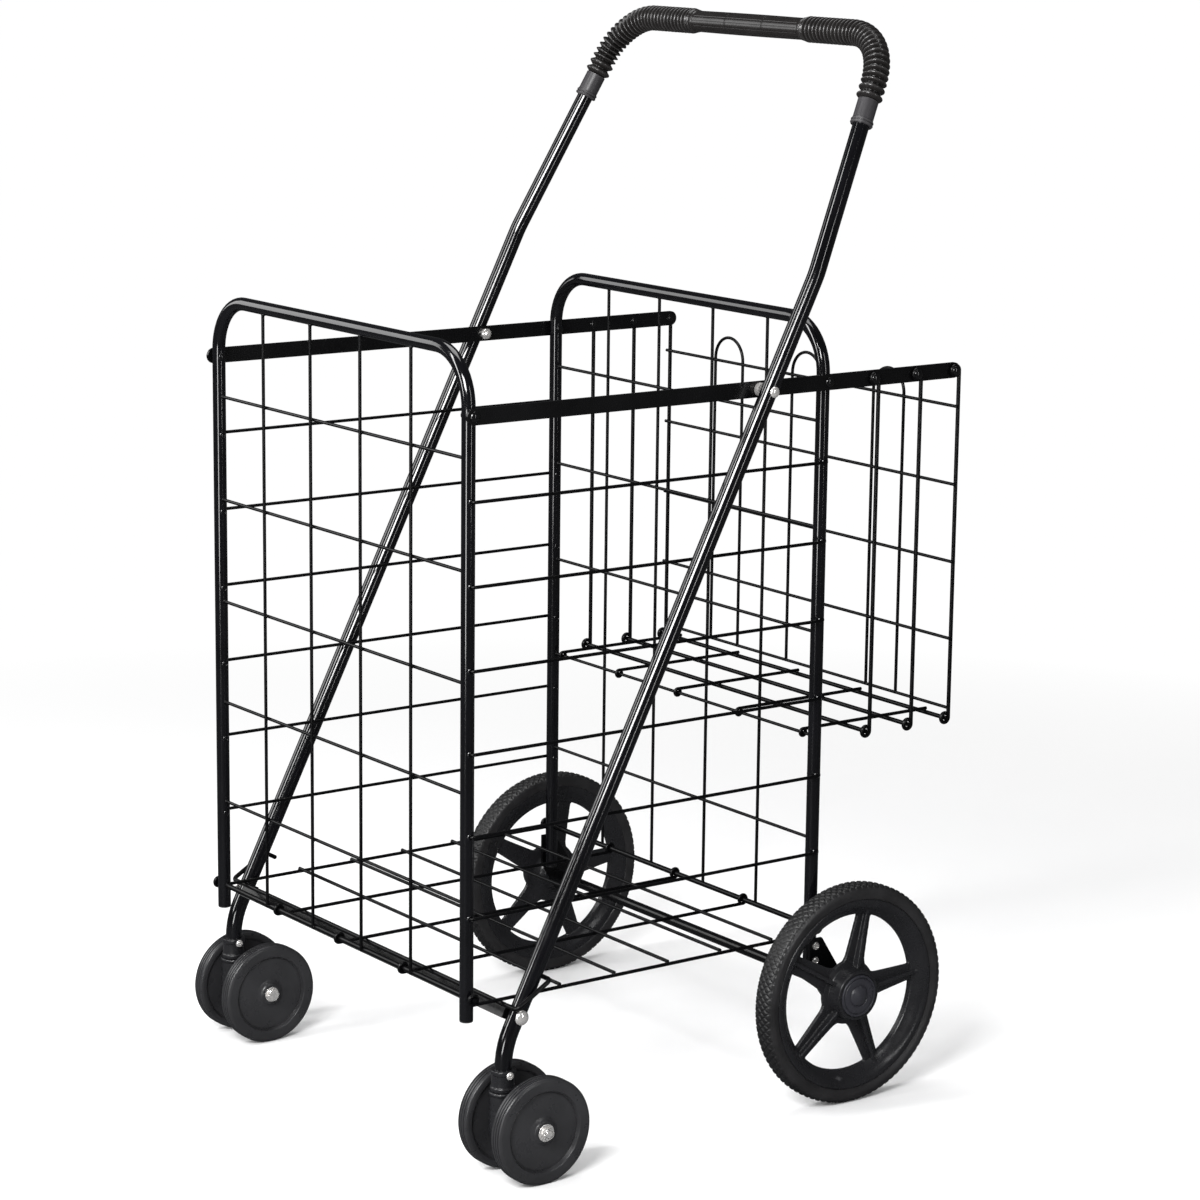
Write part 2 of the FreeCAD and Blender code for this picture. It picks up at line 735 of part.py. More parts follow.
def stem_tube(label):
    """A lower handle tube in its own middle plane."""
    body = doc.addObject("PartDesign::Body", label + "_body")
    section = sketch_on(body, label + "_section", "XY_Plane")
    bind(section, "AttachmentOffset.Base.z", "stem_end")
    stem = ("stem_y", SIZES["stem_y"])
    circle(section, ("0", 0.0), stem, ("handle_radius", SIZES["handle_radius"]))
    circle(section, ("0", 0.0), stem,
           ("handle_radius - handle_wall", SIZES["handle_radius"] - SIZES["handle_wall"]))
    spine = stem_spine(body)
    doc.recompute()
    tube = body.newObject("PartDesign::AdditivePipe", label + "_pipe")
    tube.Profile = section
    tube.Spine = spine
    body.Tip = tube
    return body


def on_handle(thing, run, across=0.0, turn=None):
    """Fixes an object to the handle's axis at a distance up from the pivot."""
    placement = handle_frame(run, across)
    if turn is not None:
        placement = placement.multiply(FreeCAD.Placement(FreeCAD.Vector(), turn))
    thing.Placement = placement
    return thing


def cross_hole(run, side, radius):
    """A drill across one handle tube at a distance up from the pivot."""
    drill = doc.addObject("Part::Cylinder", "drill")
    bind(drill, "Radius", radius)
    bind(drill, "Height", "4 * handle_radius")
    return on_handle(drill, run, side * SIZES["handle_half"] - 2 * SIZES["handle_radius"], TURNS["x"])


def handle_lower_tubes():
    """The two straight lower tubes, drilled for the pivot and brace bolts."""
    tubes = []
    for side in SIDES:
        tube = stem_tube("stem_left" if side > 0 else "stem_right")
        place(tube, "handle_half" if side > 0 else "-handle_half")
        holes = [cross_hole(run, side, "bolt_radius + 0.02") for run in (0.0, -SIZES["brace_bolt_run"])]
        tubes.append(cut(tube, *holes))
    return keep(group(*tubes), "handle_lower_tubes")


def cross_bolt(run, side, inner, outer, head_radius, head_height):
    """A bolt across a handle tube, with a domed head outside; inner and outer are its ends in X."""
    shank = doc.addObject("Part::Cylinder", "shank")
    bind(shank, "Radius", "bolt_radius")
    shank.Height = outer - inner
    low = inner if side > 0 else -outer
    on_handle(shank, run, low, TURNS["x"])
    head = doc.addObject("Part::Cone", "head")
    head.Radius1 = head_radius
    head.Radius2 = head_radius * 0.55
    head.Height = head_height
    on_handle(head, run, side * outer, FreeCAD.Rotation(Y_AXIS, 90 * side))
    return fuse(shank, head)


def hex_nut(run, side, inner, thickness, flats):
    """A plain nut on a cross bolt; inner is its face nearest the middle of the trolley."""
    nut = doc.addObject("Part::Prism", "nut")
    nut.Polygon = 6
    nut.Circumradius = flats / math.sqrt(3)
    nut.Height = thickness
    low = inner if side > 0 else -(inner + thickness)
    on_handle(nut, run, low, TURNS["x"])
    bore = doc.addObject("Part::Cylinder", "bore")
    bind(bore, "Radius", "bolt_radius + 0.02")
    bore.Height = thickness + 2
    on_handle(bore, run, low - 1, TURNS["x"])
    return cut(nut, bore)


def washer(run, side, inner, thickness, radius):
    """A round spacer on a cross bolt."""
    disc = doc.addObject("Part::Cylinder", "disc")
    disc.Radius = radius
    disc.Height = thickness
    low = inner if side > 0 else -(inner + thickness)
    on_handle(disc, run, low, TURNS["x"])
    bore = doc.addObject("Part::Cylinder", "bore")
    bind(bore, "Radius", "bolt_radius + 0.05")
    bore.Height = thickness + 2
    on_handle(bore, run, low - 1, TURNS["x"])
    return cut(disc, bore)


HANDLE_INNER = SIZES["handle_half"] - SIZES["handle_radius"]
HANDLE_OUTER = SIZES["handle_half"] + SIZES["handle_radius"]
BAR_OUTER = SIZES["bar_inner_x"] + SIZES["bar_thickness"]
BRACE_RUN = -SIZES["brace_bolt_run"]
NUT_FLATS = 10.0
PIVOT_NUT_HEIGHT = 4.0
BRACE_NUT_HEIGHT = 4.5
GAP = 0.1


def handle_brace():
    """The flat strip between the lower tubes, with its ends turned up into drilled tabs."""
    depth = SIZES["brace_depth"]
    thickness = SIZES["brace_thickness"]
    face = HANDLE_INNER - GAP
    strip = doc.addObject("Part::Box", "strip")
    strip.Length = 2 * face
    bind(strip, "Width", "brace_thickness")
    bind(strip, "Height", "brace_depth")
    place_in_handle(strip, BRACE_RUN, -face, -depth / 2 - thickness, -depth / 2)
    pieces = [strip]
    for side in SIDES:
        tab = doc.addObject("Part::Box", "tab")
        bind(tab, "Length", "brace_thickness")
        bind(tab, "Width", "brace_depth + brace_thickness")
        bind(tab, "Height", "brace_depth")
        low = face - thickness if side > 0 else -face
        place_in_handle(tab, BRACE_RUN, low, -depth / 2 - thickness, -depth / 2)
        pieces.append(tab)
    holes = [cross_hole(BRACE_RUN, side, "bolt_radius + 0.05") for side in SIDES]
    return keep(cut(fuse(*pieces), *holes), "handle_brace")


def place_in_handle(thing, run, x, y, z):
    """Puts an object in the handle's leaning frame, offset from a point on its axis."""
    offset = FreeCAD.Placement(FreeCAD.Vector(x, y, z), FreeCAD.Rotation())
    thing.Placement = handle_frame(run).multiply(offset)
    return thing


def handle_fasteners():
    """Pivot and brace bolts with their nuts and spacers."""
    spacer_inner = BAR_OUTER + GAP
    spacer_thickness = HANDLE_INNER - GAP - spacer_inner
    pivot_nut_inner = SIZES["bar_inner_x"] - GAP - PIVOT_NUT_HEIGHT
    tab_inner = HANDLE_INNER - GAP - SIZES["brace_thickness"]
    brace_nut_inner = tab_inner - GAP - BRACE_NUT_HEIGHT
    head_from = HANDLE_OUTER + GAP
    pivot_bolts = [cross_bolt(0.0, side, pivot_nut_inner - 1, head_from, 5.0, 3.2) for side in SIDES]
    keep(group(*pivot_bolts), "pivot_bolts")
    pivot_nuts = [hex_nut(0.0, side, pivot_nut_inner, PIVOT_NUT_HEIGHT, NUT_FLATS) for side in SIDES]
    keep(group(*pivot_nuts), "pivot_nuts")
    spacers = [washer(0.0, side, spacer_inner, spacer_thickness, 6.5) for side in SIDES]
    keep(group(*spacers), "pivot_spacers")
    brace_bolts = [cross_bolt(BRACE_RUN, side, brace_nut_inner - 1, head_from, 7.0, 4.6) for side in SIDES]
    keep(group(*brace_bolts), "brace_bolts")
    brace_nuts = [hex_nut(BRACE_RUN, side, brace_nut_inner, BRACE_NUT_HEIGHT, NUT_FLATS) for side in SIDES]
    keep(group(*brace_nuts), "brace_nuts")


def handle_point(x, run):
    """A point in the handle's own plane."""
    return (x, 0.0, run)


def sleeve(points, bend):
    """A soft tube over a stretch of the handle."""
    outer = bent_rod(points, bend, "handle_radius + grip_wall")
    inner = bent_rod(points, bend, "handle_radius + grip_play")
    return cut(outer, inner)


CENTRE_GRIP_HALF = 88.0
BEND_GRIP_LOW = 266.0


def grips():
    """The centre sleeve and the two ribbed sleeves that cover the handle's corners."""
    top = SIZES["handle_top_run"]
    corner = top_corner_x()
    low_x = corner + math.tan(TAPER) * (top - BEND_GRIP_LOW)
    centre = cut(
        bent_rod([handle_point(-CENTRE_GRIP_HALF, top), handle_point(CENTRE_GRIP_HALF, top)], 1.0,
                 "handle_radius + grip_wall"),
        bent_rod([handle_point(-CENTRE_GRIP_HALF, top), handle_point(CENTRE_GRIP_HALF, top)], 1.0,
                 "handle_radius + grip_play"),
    )
    centre.Placement = handle_frame()
    keep(centre, "grip_centre")
    bends = []
    for side in SIDES:
        points = [
            handle_point(side * (CENTRE_GRIP_HALF + 0.5), top),
            handle_point(side * corner, top),
            handle_point(side * low_x, BEND_GRIP_LOW),
        ]
        bends.append(sleeve(points, SIZES["handle_top_bend"]))
    both = group(*bends)
    both.Placement = handle_frame()
    keep(both, "grip_bends")


def guide_rod():
    """The cross rod in front of the handle tubes, with a hook round each of them."""
    lean = math.tan(LEAN)
    on_axis_y = SIZES["pivot_y"] - (SIZES["bar_height"] - SIZES["guide_height"]) * lean
    y = on_axis_y - SIZES["guide_offset"] / math.cos(LEAN)
    outer = HANDLE_OUTER + SIZES["guide_radius"] + 1.2
    rise = 22.0
    reach = 37.0
    inner = HANDLE_INNER - 1.0
    height = SIZES["guide_height"]
    points = [
        (-inner, y + reach, height + rise),
        (-outer, y + reach, height + rise),
        (-outer, y, height),
        (outer, y, height),
        (outer, y + reach, height + rise),
        (inner, y + reach, height + rise),
    ]
    return keep(bent_rod(points, 4.5, "guide_radius"), "guide_rod")


handle_upper_tube()
handle_lower_tubes()
handle_brace()
handle_fasteners()
grips()
guide_rod()


# ---------- casters ----------

AXLE_NUT_FLATS = 12.5
AXLE_NUT_HEIGHT = 4.0


def caster_sockets():
    """Collars on the stems' ends that the swivelling forks turn in, and their fixing screws."""
    collars = []
    screws = []
    for side in SIDES:
        sign = "+" if side > 0 else "-"
        tube_face = f"handle_half {sign} (handle_radius + 0.1)"
        collar_face = f"handle_half {sign} (handle_radius + socket_wall + 0.1)"
        x = signed(side, "handle_half")
        collar_length = "socket_top - socket_bottom"
        collar = rod("z", x, "stem_y", "socket_bottom", collar_length, "handle_radius + socket_wall")
        seat = rod("z", x, "stem_y", "stem_end - 0.1", "20", "handle_radius + 0.05")
        bore = rod("z", x, "stem_y", "socket_bottom - 1", "30", "stem_pin_radius + 0.1")
        spot = ("stem_y", "socket_screw_height")
        screw_hole = spanning(side, "handle_half", f"handle_half {sign} 20", *spot, "screw_radius + 0.02")
        collars.append(cut(collar, seat, bore, screw_hole))
        shank = spanning(side, tube_face, f"{collar_face} {sign} 0.5", *spot, "screw_radius")
        head = spanning(side, collar_face, f"{collar_face} {sign} 1.8", *spot, "screw_radius + 1.4")
        screws.append(fuse(shank, head))
    keep(group(*collars), "caster_sockets")
    keep(group(*screws), "socket_screws")


def caster_fork(side):
    """The swivelling body: a boss and pin on the stem's axis and a hub block on the axle's."""
    x = signed(side, "handle_half")
    axle_y = "stem_y + caster_trail"
    boss = rod("z", x, "stem_y", "caster_radius", "socket_bottom - 0.4 - caster_radius", "fork_boss_radius")
    pin = rod("z", x, "stem_y", "socket_bottom - 2", "26", "stem_pin_radius")
    hub = rod("x", f"{x} - fork_half", axle_y, "caster_radius", "2 * fork_half", "fork_hub_radius")
    web = block(f"{x} - 11", "stem_y", "caster_radius - 14", "22", "caster_trail", "38")
    cheek = block(f"{x} - 11", "stem_y - 8", "caster_radius", "22", "16", "30")
    bore_length = "2 * fork_half + 6"
    bore = rod("x", f"{x} - fork_half - 3", axle_y, "caster_radius", bore_length, "caster_axle_radius + 0.03")
    return keep(cut(fuse(boss, pin, hub, web, cheek), bore), f"caster_fork_{side_name(side)}")


def hexagon(side, near, thickness, y, z, flats, bore=None):
    """A hexagonal head or nut whose face nearest the trolley's middle is at near."""
    prism = doc.addObject("Part::Prism", "hexagon")
    prism.Polygon = 6
    prism.Circumradius = flats / math.sqrt(3)
    prism.Height = thickness
    place(prism, near if side > 0 else f"-({near} + {thickness})", y, z, TURNS["x"])
    if bore is None:
        return prism
    return cut(prism, spanning(side, f"{near} - 1", f"{near} + {thickness} + 1", y, z, bore))


def caster_axle(side):
    """A caster's axle bolt, headed inboard, and the washer and nut outboard."""
    spot = ("stem_y + caster_trail", "caster_radius")
    reach = "caster_gap_half + caster_width"
    inner = f"handle_half - ({reach})"
    outer = f"handle_half + {reach}"
    shank = spanning(side, f"{inner} - 0.6", f"{outer} + 6.4", *spot, "caster_axle_radius")
    head = hexagon(side, f"{inner} - 4.5", AXLE_NUT_HEIGHT, *spot, AXLE_NUT_FLATS)
    keep(fuse(shank, head), f"caster_axle_{side_name(side)}")
    fit = "caster_axle_radius + 0.02"
    disc = spanning(side, f"{outer} + 0.3", f"{outer} + 1.5", *spot, "8.5")
    disc_bore = spanning(side, f"{outer} - 1", f"{outer} + 3", *spot, fit)
    nut = hexagon(side, f"{outer} + 1.6", AXLE_NUT_HEIGHT, *spot, AXLE_NUT_FLATS, fit)
    keep(group(nut, cut(disc, disc_bore)), f"caster_nut_{side_name(side)}")


def caster_wheel(side, inboard):
    """One of a caster's two solid wheels, dished on its outer face."""
    label = f"caster_wheel_{side_name(side)}_{'inner' if inboard else 'outer'}"
    wheel = turned(label, [
        ("0", "caster_axle_radius + running_play"),
        ("caster_width - 2", "caster_axle_radius + running_play"),
        ("caster_width - 2", "10"),
        ("caster_width - 4", "11"),
        ("caster_width - 4", "35.5"),
        ("caster_width - 5", "36"),
        ("caster_width - 5", "37.5"),
        ("caster_width - 2", "38.5"),
        ("caster_width", "41"),
        ("caster_width", "caster_radius - 3"),
        ("caster_width - 2", "caster_radius - 0.6"),
        ("caster_width - 4", "caster_radius"),
        ("3", "caster_radius"),
        ("0.8", "caster_radius - 0.8"),
        ("0", "caster_radius - 3"),
        ("0", "44"),
        ("4", "42"),
        ("4", "12"),
        ("0", "11"),
    ])
    outward = -side if inboard else side
    x = f"{signed(side, 'handle_half')} + {signed(outward, 'caster_gap_half')}"
    place(wheel, x, "stem_y + caster_trail", "caster_radius", facing(outward))
    return keep(wheel, label)


caster_sockets()
for side in SIDES:
    caster_fork(side)
    caster_axle(side)
    for inboard in (False, True):
        caster_wheel(side, inboard)


# ---------- rear axle and wheels ----------

SPOKES = 5
FIRST_SPOKE_LEAN = 12.8
BRACKET_RIVET_DROPS = (7.0, 22.0)


def axle_brackets():
    """Plates on the outside of the rear tube's feet that carry the axle behind them."""
    plates = []
    rivets = []
    tube_face = "tube_half + tube_radius"
    plate_face = f"{tube_face} + bracket_thickness + 0.1"
    for side in SIDES:
        body = doc.addObject("PartDesign::Body", "bracket_body")
        sketch = sketch_on(body, "bracket_outline", "YZ_Plane")
        outline(sketch, [(amount(y), amount(z)) for y, z in (
            ("rear_y - 7", "bracket_top"),
            ("rear_y - 7", "axle_height + 20"),
            ("axle_y - 15", "axle_height - 4"),
            ("axle_y - 8", "axle_height - 13"),
            ("axle_y + 8", "axle_height - 13"),
            ("axle_y + 15", "axle_height - 4"),
            ("axle_y + 13", "axle_height + 9"),
            ("rear_y + 8", "bracket_top"),
        )])
        pad = body.newObject("PartDesign::Pad", "bracket_pad")
        pad.Profile = sketch
        bind(pad, "Length", "bracket_thickness")
        body.Tip = pad
        place(body, f"{tube_face} + 0.1" if side > 0 else f"-({plate_face})")
        holes = [spanning(side, "0", "300", "axle_y", "axle_height", "axle_radius + 0.02")]
        for drop in BRACKET_RIVET_DROPS:
            spot = ("rear_y", f"bracket_top - {drop}")
            holes.append(spanning(side, "0", "300", *spot, "screw_radius + 0.02"))
            shank = spanning(side, tube_face, f"{plate_face} + 0.2", *spot, "screw_radius")
            head = spanning(side, f"{plate_face} + 0.05", f"{plate_face} + 1.7", *spot, "screw_radius * 2")
            rivets.append(fuse(shank, head))
        plates.append(cut(body, *holes))
    keep(group(*plates), "axle_brackets")
    keep(group(*rivets), "bracket_rivets")


def rear_axle():
    """The long axle, its spacers beside the brackets and its push nuts."""
    spot = ("axle_y", "axle_height")
    keep(rod("x", "-axle_half", *spot, "2 * axle_half", "axle_radius"), "rear_axle")
    spacers = []
    nuts = []
    bracket_face = "tube_half + tube_radius + bracket_thickness + 0.3"
    nut_face = "tyre_inner_x + tyre_width + 0.1"
    for side in SIDES:
        tube = spanning(side, bracket_face, "tyre_inner_x - hub_inset - 0.3", *spot, "axle_radius + 3")
        nut = spanning(side, nut_face, f"{nut_face} + 1.8", *spot, "8.5")
        bores = [spanning(side, "0", "300", *spot, "axle_radius + 0.02") for _ in range(2)]
        spacers.append(cut(tube, bores[0]))
        nuts.append(cut(nut, bores[1]))
    keep(group(*spacers), "axle_spacers")
    keep(group(*nuts), "axle_push_nuts")


def rear_rim(side):
    """A moulded rim: dished ring, hub and five ribbed spokes, turned and patterned about X."""
    label = f"rear_rim_{side_name(side)}"
    body = doc.addObject("PartDesign::Body", label + "_body")
    ring_sketch = sketch_on(body, label + "_ring", "XY_Plane")
    outline(ring_sketch, [
        (amount(a), amount(b)) for a, b in (
            ("5", "83"), ("18", "81.5"), ("22.5", "90"), ("22.5", "rim_radius - 4"),
            ("19.5", "rim_radius - 0.1"), ("3", "rim_radius - 0.1"), ("0.5", "rim_radius - 4"), ("0.5", "88"),
        )
    ])
    ring_turn = body.newObject("PartDesign::Revolution", label + "_ring_turn")
    ring_turn.Profile = ring_sketch
    ring_turn.ReferenceAxis = (origin_plane(body, "X_Axis"), [""])
    body.Tip = ring_turn
    hub_sketch = sketch_on(body, label + "_hub", "XY_Plane")
    outline(hub_sketch, [
        (amount(a), amount(b)) for a, b in (
            ("-hub_inset", "axle_radius + 0.1"), ("22.9", "axle_radius + 0.1"), ("22.9", "22.5"),
            ("15", "24"), ("12", "33"), ("7", "34"), ("4", "20"), ("-hub_inset", "14"),
        )
    ])
    doc.recompute()
    hub_turn = body.newObject("PartDesign::Revolution", label + "_hub_turn")
    hub_turn.Profile = hub_sketch
    hub_turn.ReferenceAxis = (origin_plane(body, "X_Axis"), [""])
    body.Tip = hub_turn
    doc.recompute()
    for part_name, half_width, low, high in (("web", 11.0, 8.0, 12.0), ("rib", 2.2, 7.0, 19.0)):
        spoke_sketch = sketch_on(body, f"{label}_{part_name}", "YZ_Plane")
        spoke_sketch.AttachmentOffset = FreeCAD.Placement(FreeCAD.Vector(0, 0, low), FreeCAD.Rotation())
        inner = 19.0
        outer = 84.5
        taper = 0.8 if part_name == "web" else 1.0
        outline(spoke_sketch, [
            (amount(f"-{half_width}"), amount(str(inner))),
            (amount(str(half_width)), amount(str(inner))),
            (amount(str(half_width * taper)), amount(str(outer))),
            (amount(f"-{half_width * taper}"), amount(str(outer))),
        ])
        pad = body.newObject("PartDesign::Pad", f"{label}_{part_name}_pad")
        pad.Profile = spoke_sketch
        pad.Length = high - low
        body.Tip = pad
        doc.recompute()
        pattern = body.newObject("PartDesign::PolarPattern", f"{label}_{part_name}_spokes")
        pattern.Originals = [pad]
        pattern.Axis = (origin_plane(body, "X_Axis"), [""])
        pattern.Angle = 360
        pattern.Occurrences = SPOKES
        body.Tip = pattern
        doc.recompute()
    lean = FreeCAD.Rotation(X_AXIS, -FIRST_SPOKE_LEAN)
    place(body, signed(side, "tyre_inner_x"), "axle_y", "axle_height", lean * facing(side))
    return keep(body, label)


def rear_tyre(side):
    """A solid tyre seated round the rim."""
    tyre = turned(f"rear_tyre_{side_name(side)}", [
        ("2", "rim_radius"),
        ("tyre_width - 2", "rim_radius"),
        ("tyre_width", "rim_radius + 2"),
        ("tyre_width", "axle_height - 5"),
        ("tyre_width - 2.5", "axle_height - 1.5"),
        ("tyre_width - 7", "axle_height"),
        ("7", "axle_height"),
        ("2.5", "axle_height - 1.5"),
        ("0", "axle_height - 5"),
        ("0", "rim_radius + 2"),
    ])
    place(tyre, signed(side, "tyre_inner_x"), "axle_y", "axle_height", facing(side))
    return keep(tyre, f"rear_tyre_{side_name(side)}")


def hub_cap(side):
    """The domed cap over the axle's end."""
    cap = turned(f"hub_cap_{side_name(side)}", [
        ("23", "10"),
        ("27.5", "9.5"),
        ("27.5", "0"),
        ("31", "0"),
        ("30.4", "6"),
        ("28.6", "12"),
        ("28.6", "17"),
        ("27.6", "20.6"),
        ("25", "22"),
        ("23", "22"),
    ])
    place(cap, signed(side, "tyre_inner_x"), "axle_y", "axle_height", facing(side))
    return keep(cap, f"hub_cap_{side_name(side)}")


axle_brackets()
rear_axle()
for side in SIDES:
    rear_rim(side)
    rear_tyre(side)
    hub_cap(side)


# ---------- rear basket ----------

def hanging_rod(x, word):
    """An upright rod with an eye over the bar's rivet and another round the cross rod."""
    top = (x, SIZES[word], SIZES["bar_height"])
    low = (x, SIZES[word], SIZES["basket_height"])
    return eyed_rod(top, low, (0, 1, 0), SIZES["basket_eye"], "basket_rod_radius")


def basket_rods(number, word):
    """The pair of hanging rods at one row."""
    rods = [hanging_rod(side * SIZES["basket_rod_x"], word) for side in SIDES]
    return keep(group(*rods), f"basket_rods_{number}")


def hairpin(x_word):
    """A tall loop of wire in the basket's back panel."""
    radius = "hairpin_half"
    foot = "back_wire_top - 4 * side_wire_pitch + 5"
    length = f"hairpin_top - {radius} - ({foot})"
    y = "basket_row_three + basket_eye - 0.2"
    legs = [rod("z", f"{x_word} {sign} {radius}", y, foot, length, "wire_radius") for sign in ("-", "+")]
    arch = doc.addObject("Part::Torus", "arch")
    bind(arch, "Radius1", radius)
    bind(arch, "Radius2", "wire_radius")
    arch.Angle3 = 180
    place(arch, x_word, y, f"hairpin_top - {radius}", FreeCAD.Rotation(X_AXIS, 90))
    return legs + [arch]


def basket_back():
    """The back panel: side rods with eyes, cross wires and three hairpin loops.

    The lowest cross wire sits between the side rods, so that the floor's wires fold up past it.
    """
    pieces = [hanging_rod(side * SIZES["basket_rod_x"], "basket_row_three") for side in SIDES]
    rod_line = "basket_row_three + basket_eye"
    half = "basket_rod_x + 2.6"
    for row in range(4):
        height = f"back_wire_top - {row} * side_wire_pitch"
        pieces.append(rod("x", f"-({half})", f"{rod_line} - 2.7", height, f"2 * ({half})", "wire_radius"))
    low = "back_wire_top - 4 * side_wire_pitch + 6"
    pieces.append(rod("x", "-basket_rod_x", rod_line, low, "2 * basket_rod_x", "wire_radius"))
    for word in ("-hairpin_spacing", "0", "hairpin_spacing"):
        pieces += hairpin(word)
    return keep(fuse(*pieces), "basket_back_panel")


def basket_floor():
    """The rear basket's floor: lengthwise wires hooked on the rear panel, and three cross rods."""
    eye = SIZES["basket_hook"]
    height = SIZES["basket_height"]
    pieces = []
    for column in range(-2, 3):
        x = column * SIZES["basket_wire_spacing"]
        hook = (x, SIZES["rear_y"], height)
        end = (x, SIZES["basket_row_three"] + 2.5, height)
        pieces.append(eyed_rod(hook, end, (0, 0, 1), eye, "floor_wire_radius", (True, False)))
    for word in BASKET_ROWS:
        half = "basket_rod_x + basket_rod_radius + 3"
        pieces.append(rod("x", f"-({half})", word, "basket_height", f"2 * ({half})", "cross_rod_radius"))
    return keep(fuse(*pieces), "basket_floor")


basket_rods(1, "basket_row_one")
basket_rods(2, "basket_row_two")
basket_back()
basket_floor()


# ---------- check and write ----------

doc.recompute()
faults = []
for thing in doc.Objects:
    if "Invalid" in thing.State or "Error" in thing.State:
        faults.append(f"{thing.Name} ({thing.Label}): {thing.State}")
for thing in subparts:
    if thing.Shape.isNull() or not thing.Shape.isValid() or not thing.Shape.Solids:
        faults.append(f"{thing.Label}: no valid solid")
if faults:
    raise RuntimeError("; ".join(faults))

os.makedirs("parts", exist_ok=True)
for thing in subparts:
    thing.Shape.exportStep(f"parts/{thing.Label}.step")
    print(f"{thing.Label}: {len(thing.Shape.Solids)} solids, {thing.Shape.Volume:.0f} mm3")
print(len(subparts), "sub-parts")
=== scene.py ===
import json
import math

import bmesh
import bpy
from mathutils import Matrix, Vector, noise


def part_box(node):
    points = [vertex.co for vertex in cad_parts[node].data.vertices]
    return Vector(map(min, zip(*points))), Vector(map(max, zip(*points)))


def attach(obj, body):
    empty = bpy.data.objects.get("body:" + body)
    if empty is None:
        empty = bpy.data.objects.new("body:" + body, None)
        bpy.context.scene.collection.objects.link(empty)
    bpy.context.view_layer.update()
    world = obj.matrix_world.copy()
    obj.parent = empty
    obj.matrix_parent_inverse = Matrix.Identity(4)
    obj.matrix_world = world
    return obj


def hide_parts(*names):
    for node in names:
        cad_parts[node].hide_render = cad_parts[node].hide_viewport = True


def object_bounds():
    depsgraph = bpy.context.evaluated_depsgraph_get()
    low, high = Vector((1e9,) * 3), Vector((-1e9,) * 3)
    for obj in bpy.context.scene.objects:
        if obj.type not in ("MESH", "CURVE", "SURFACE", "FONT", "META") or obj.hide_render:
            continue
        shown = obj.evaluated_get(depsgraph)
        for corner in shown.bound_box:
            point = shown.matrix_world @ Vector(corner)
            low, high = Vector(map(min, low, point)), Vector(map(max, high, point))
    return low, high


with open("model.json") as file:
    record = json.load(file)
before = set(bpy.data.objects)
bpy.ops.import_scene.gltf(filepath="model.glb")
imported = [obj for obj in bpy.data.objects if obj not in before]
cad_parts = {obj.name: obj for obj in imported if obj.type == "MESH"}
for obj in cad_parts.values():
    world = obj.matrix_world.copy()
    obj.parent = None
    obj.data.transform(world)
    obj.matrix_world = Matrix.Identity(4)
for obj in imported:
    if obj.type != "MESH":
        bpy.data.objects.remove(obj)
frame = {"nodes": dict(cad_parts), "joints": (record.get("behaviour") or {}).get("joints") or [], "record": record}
CAD_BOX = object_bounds()

# The looks of a folding shopping trolley. Shapes are written in millimetres in each piece's own
# frame and scaled to metres when the piece is made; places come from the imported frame.
MM = 0.001
PAINT_FILM = 0.00018
THIN_FILM = 0.0001
JOINTS = {joint["name"]: joint for joint in frame["joints"]}
SIDES = {"left": 1, "right": -1}


def middle(node):
    low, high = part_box(node)
    return (low + high) / 2


def outer_x(node):
    """The furthest a node reaches from the trolley's middle plane."""
    low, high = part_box(node)
    return max(abs(low.x), abs(high.x))


def inner_x(node):
    """The nearest a one-sided node comes to the trolley's middle plane."""
    low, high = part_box(node)
    return min(abs(low.x), abs(high.x))


def joint_at(name):
    """A joint's place, in millimetres."""
    return Vector(JOINTS[name]["pos_m"]) / MM


def half_turn(side):
    """Nothing on the left side, and half a turn about the upright on the right."""
    return Matrix.Identity(4) if side > 0 else Matrix.Rotation(math.pi, 4, "Z")


def angles(count):
    return [2 * math.pi * k / count for k in range(count)]


# ---------- shader nodes ----------

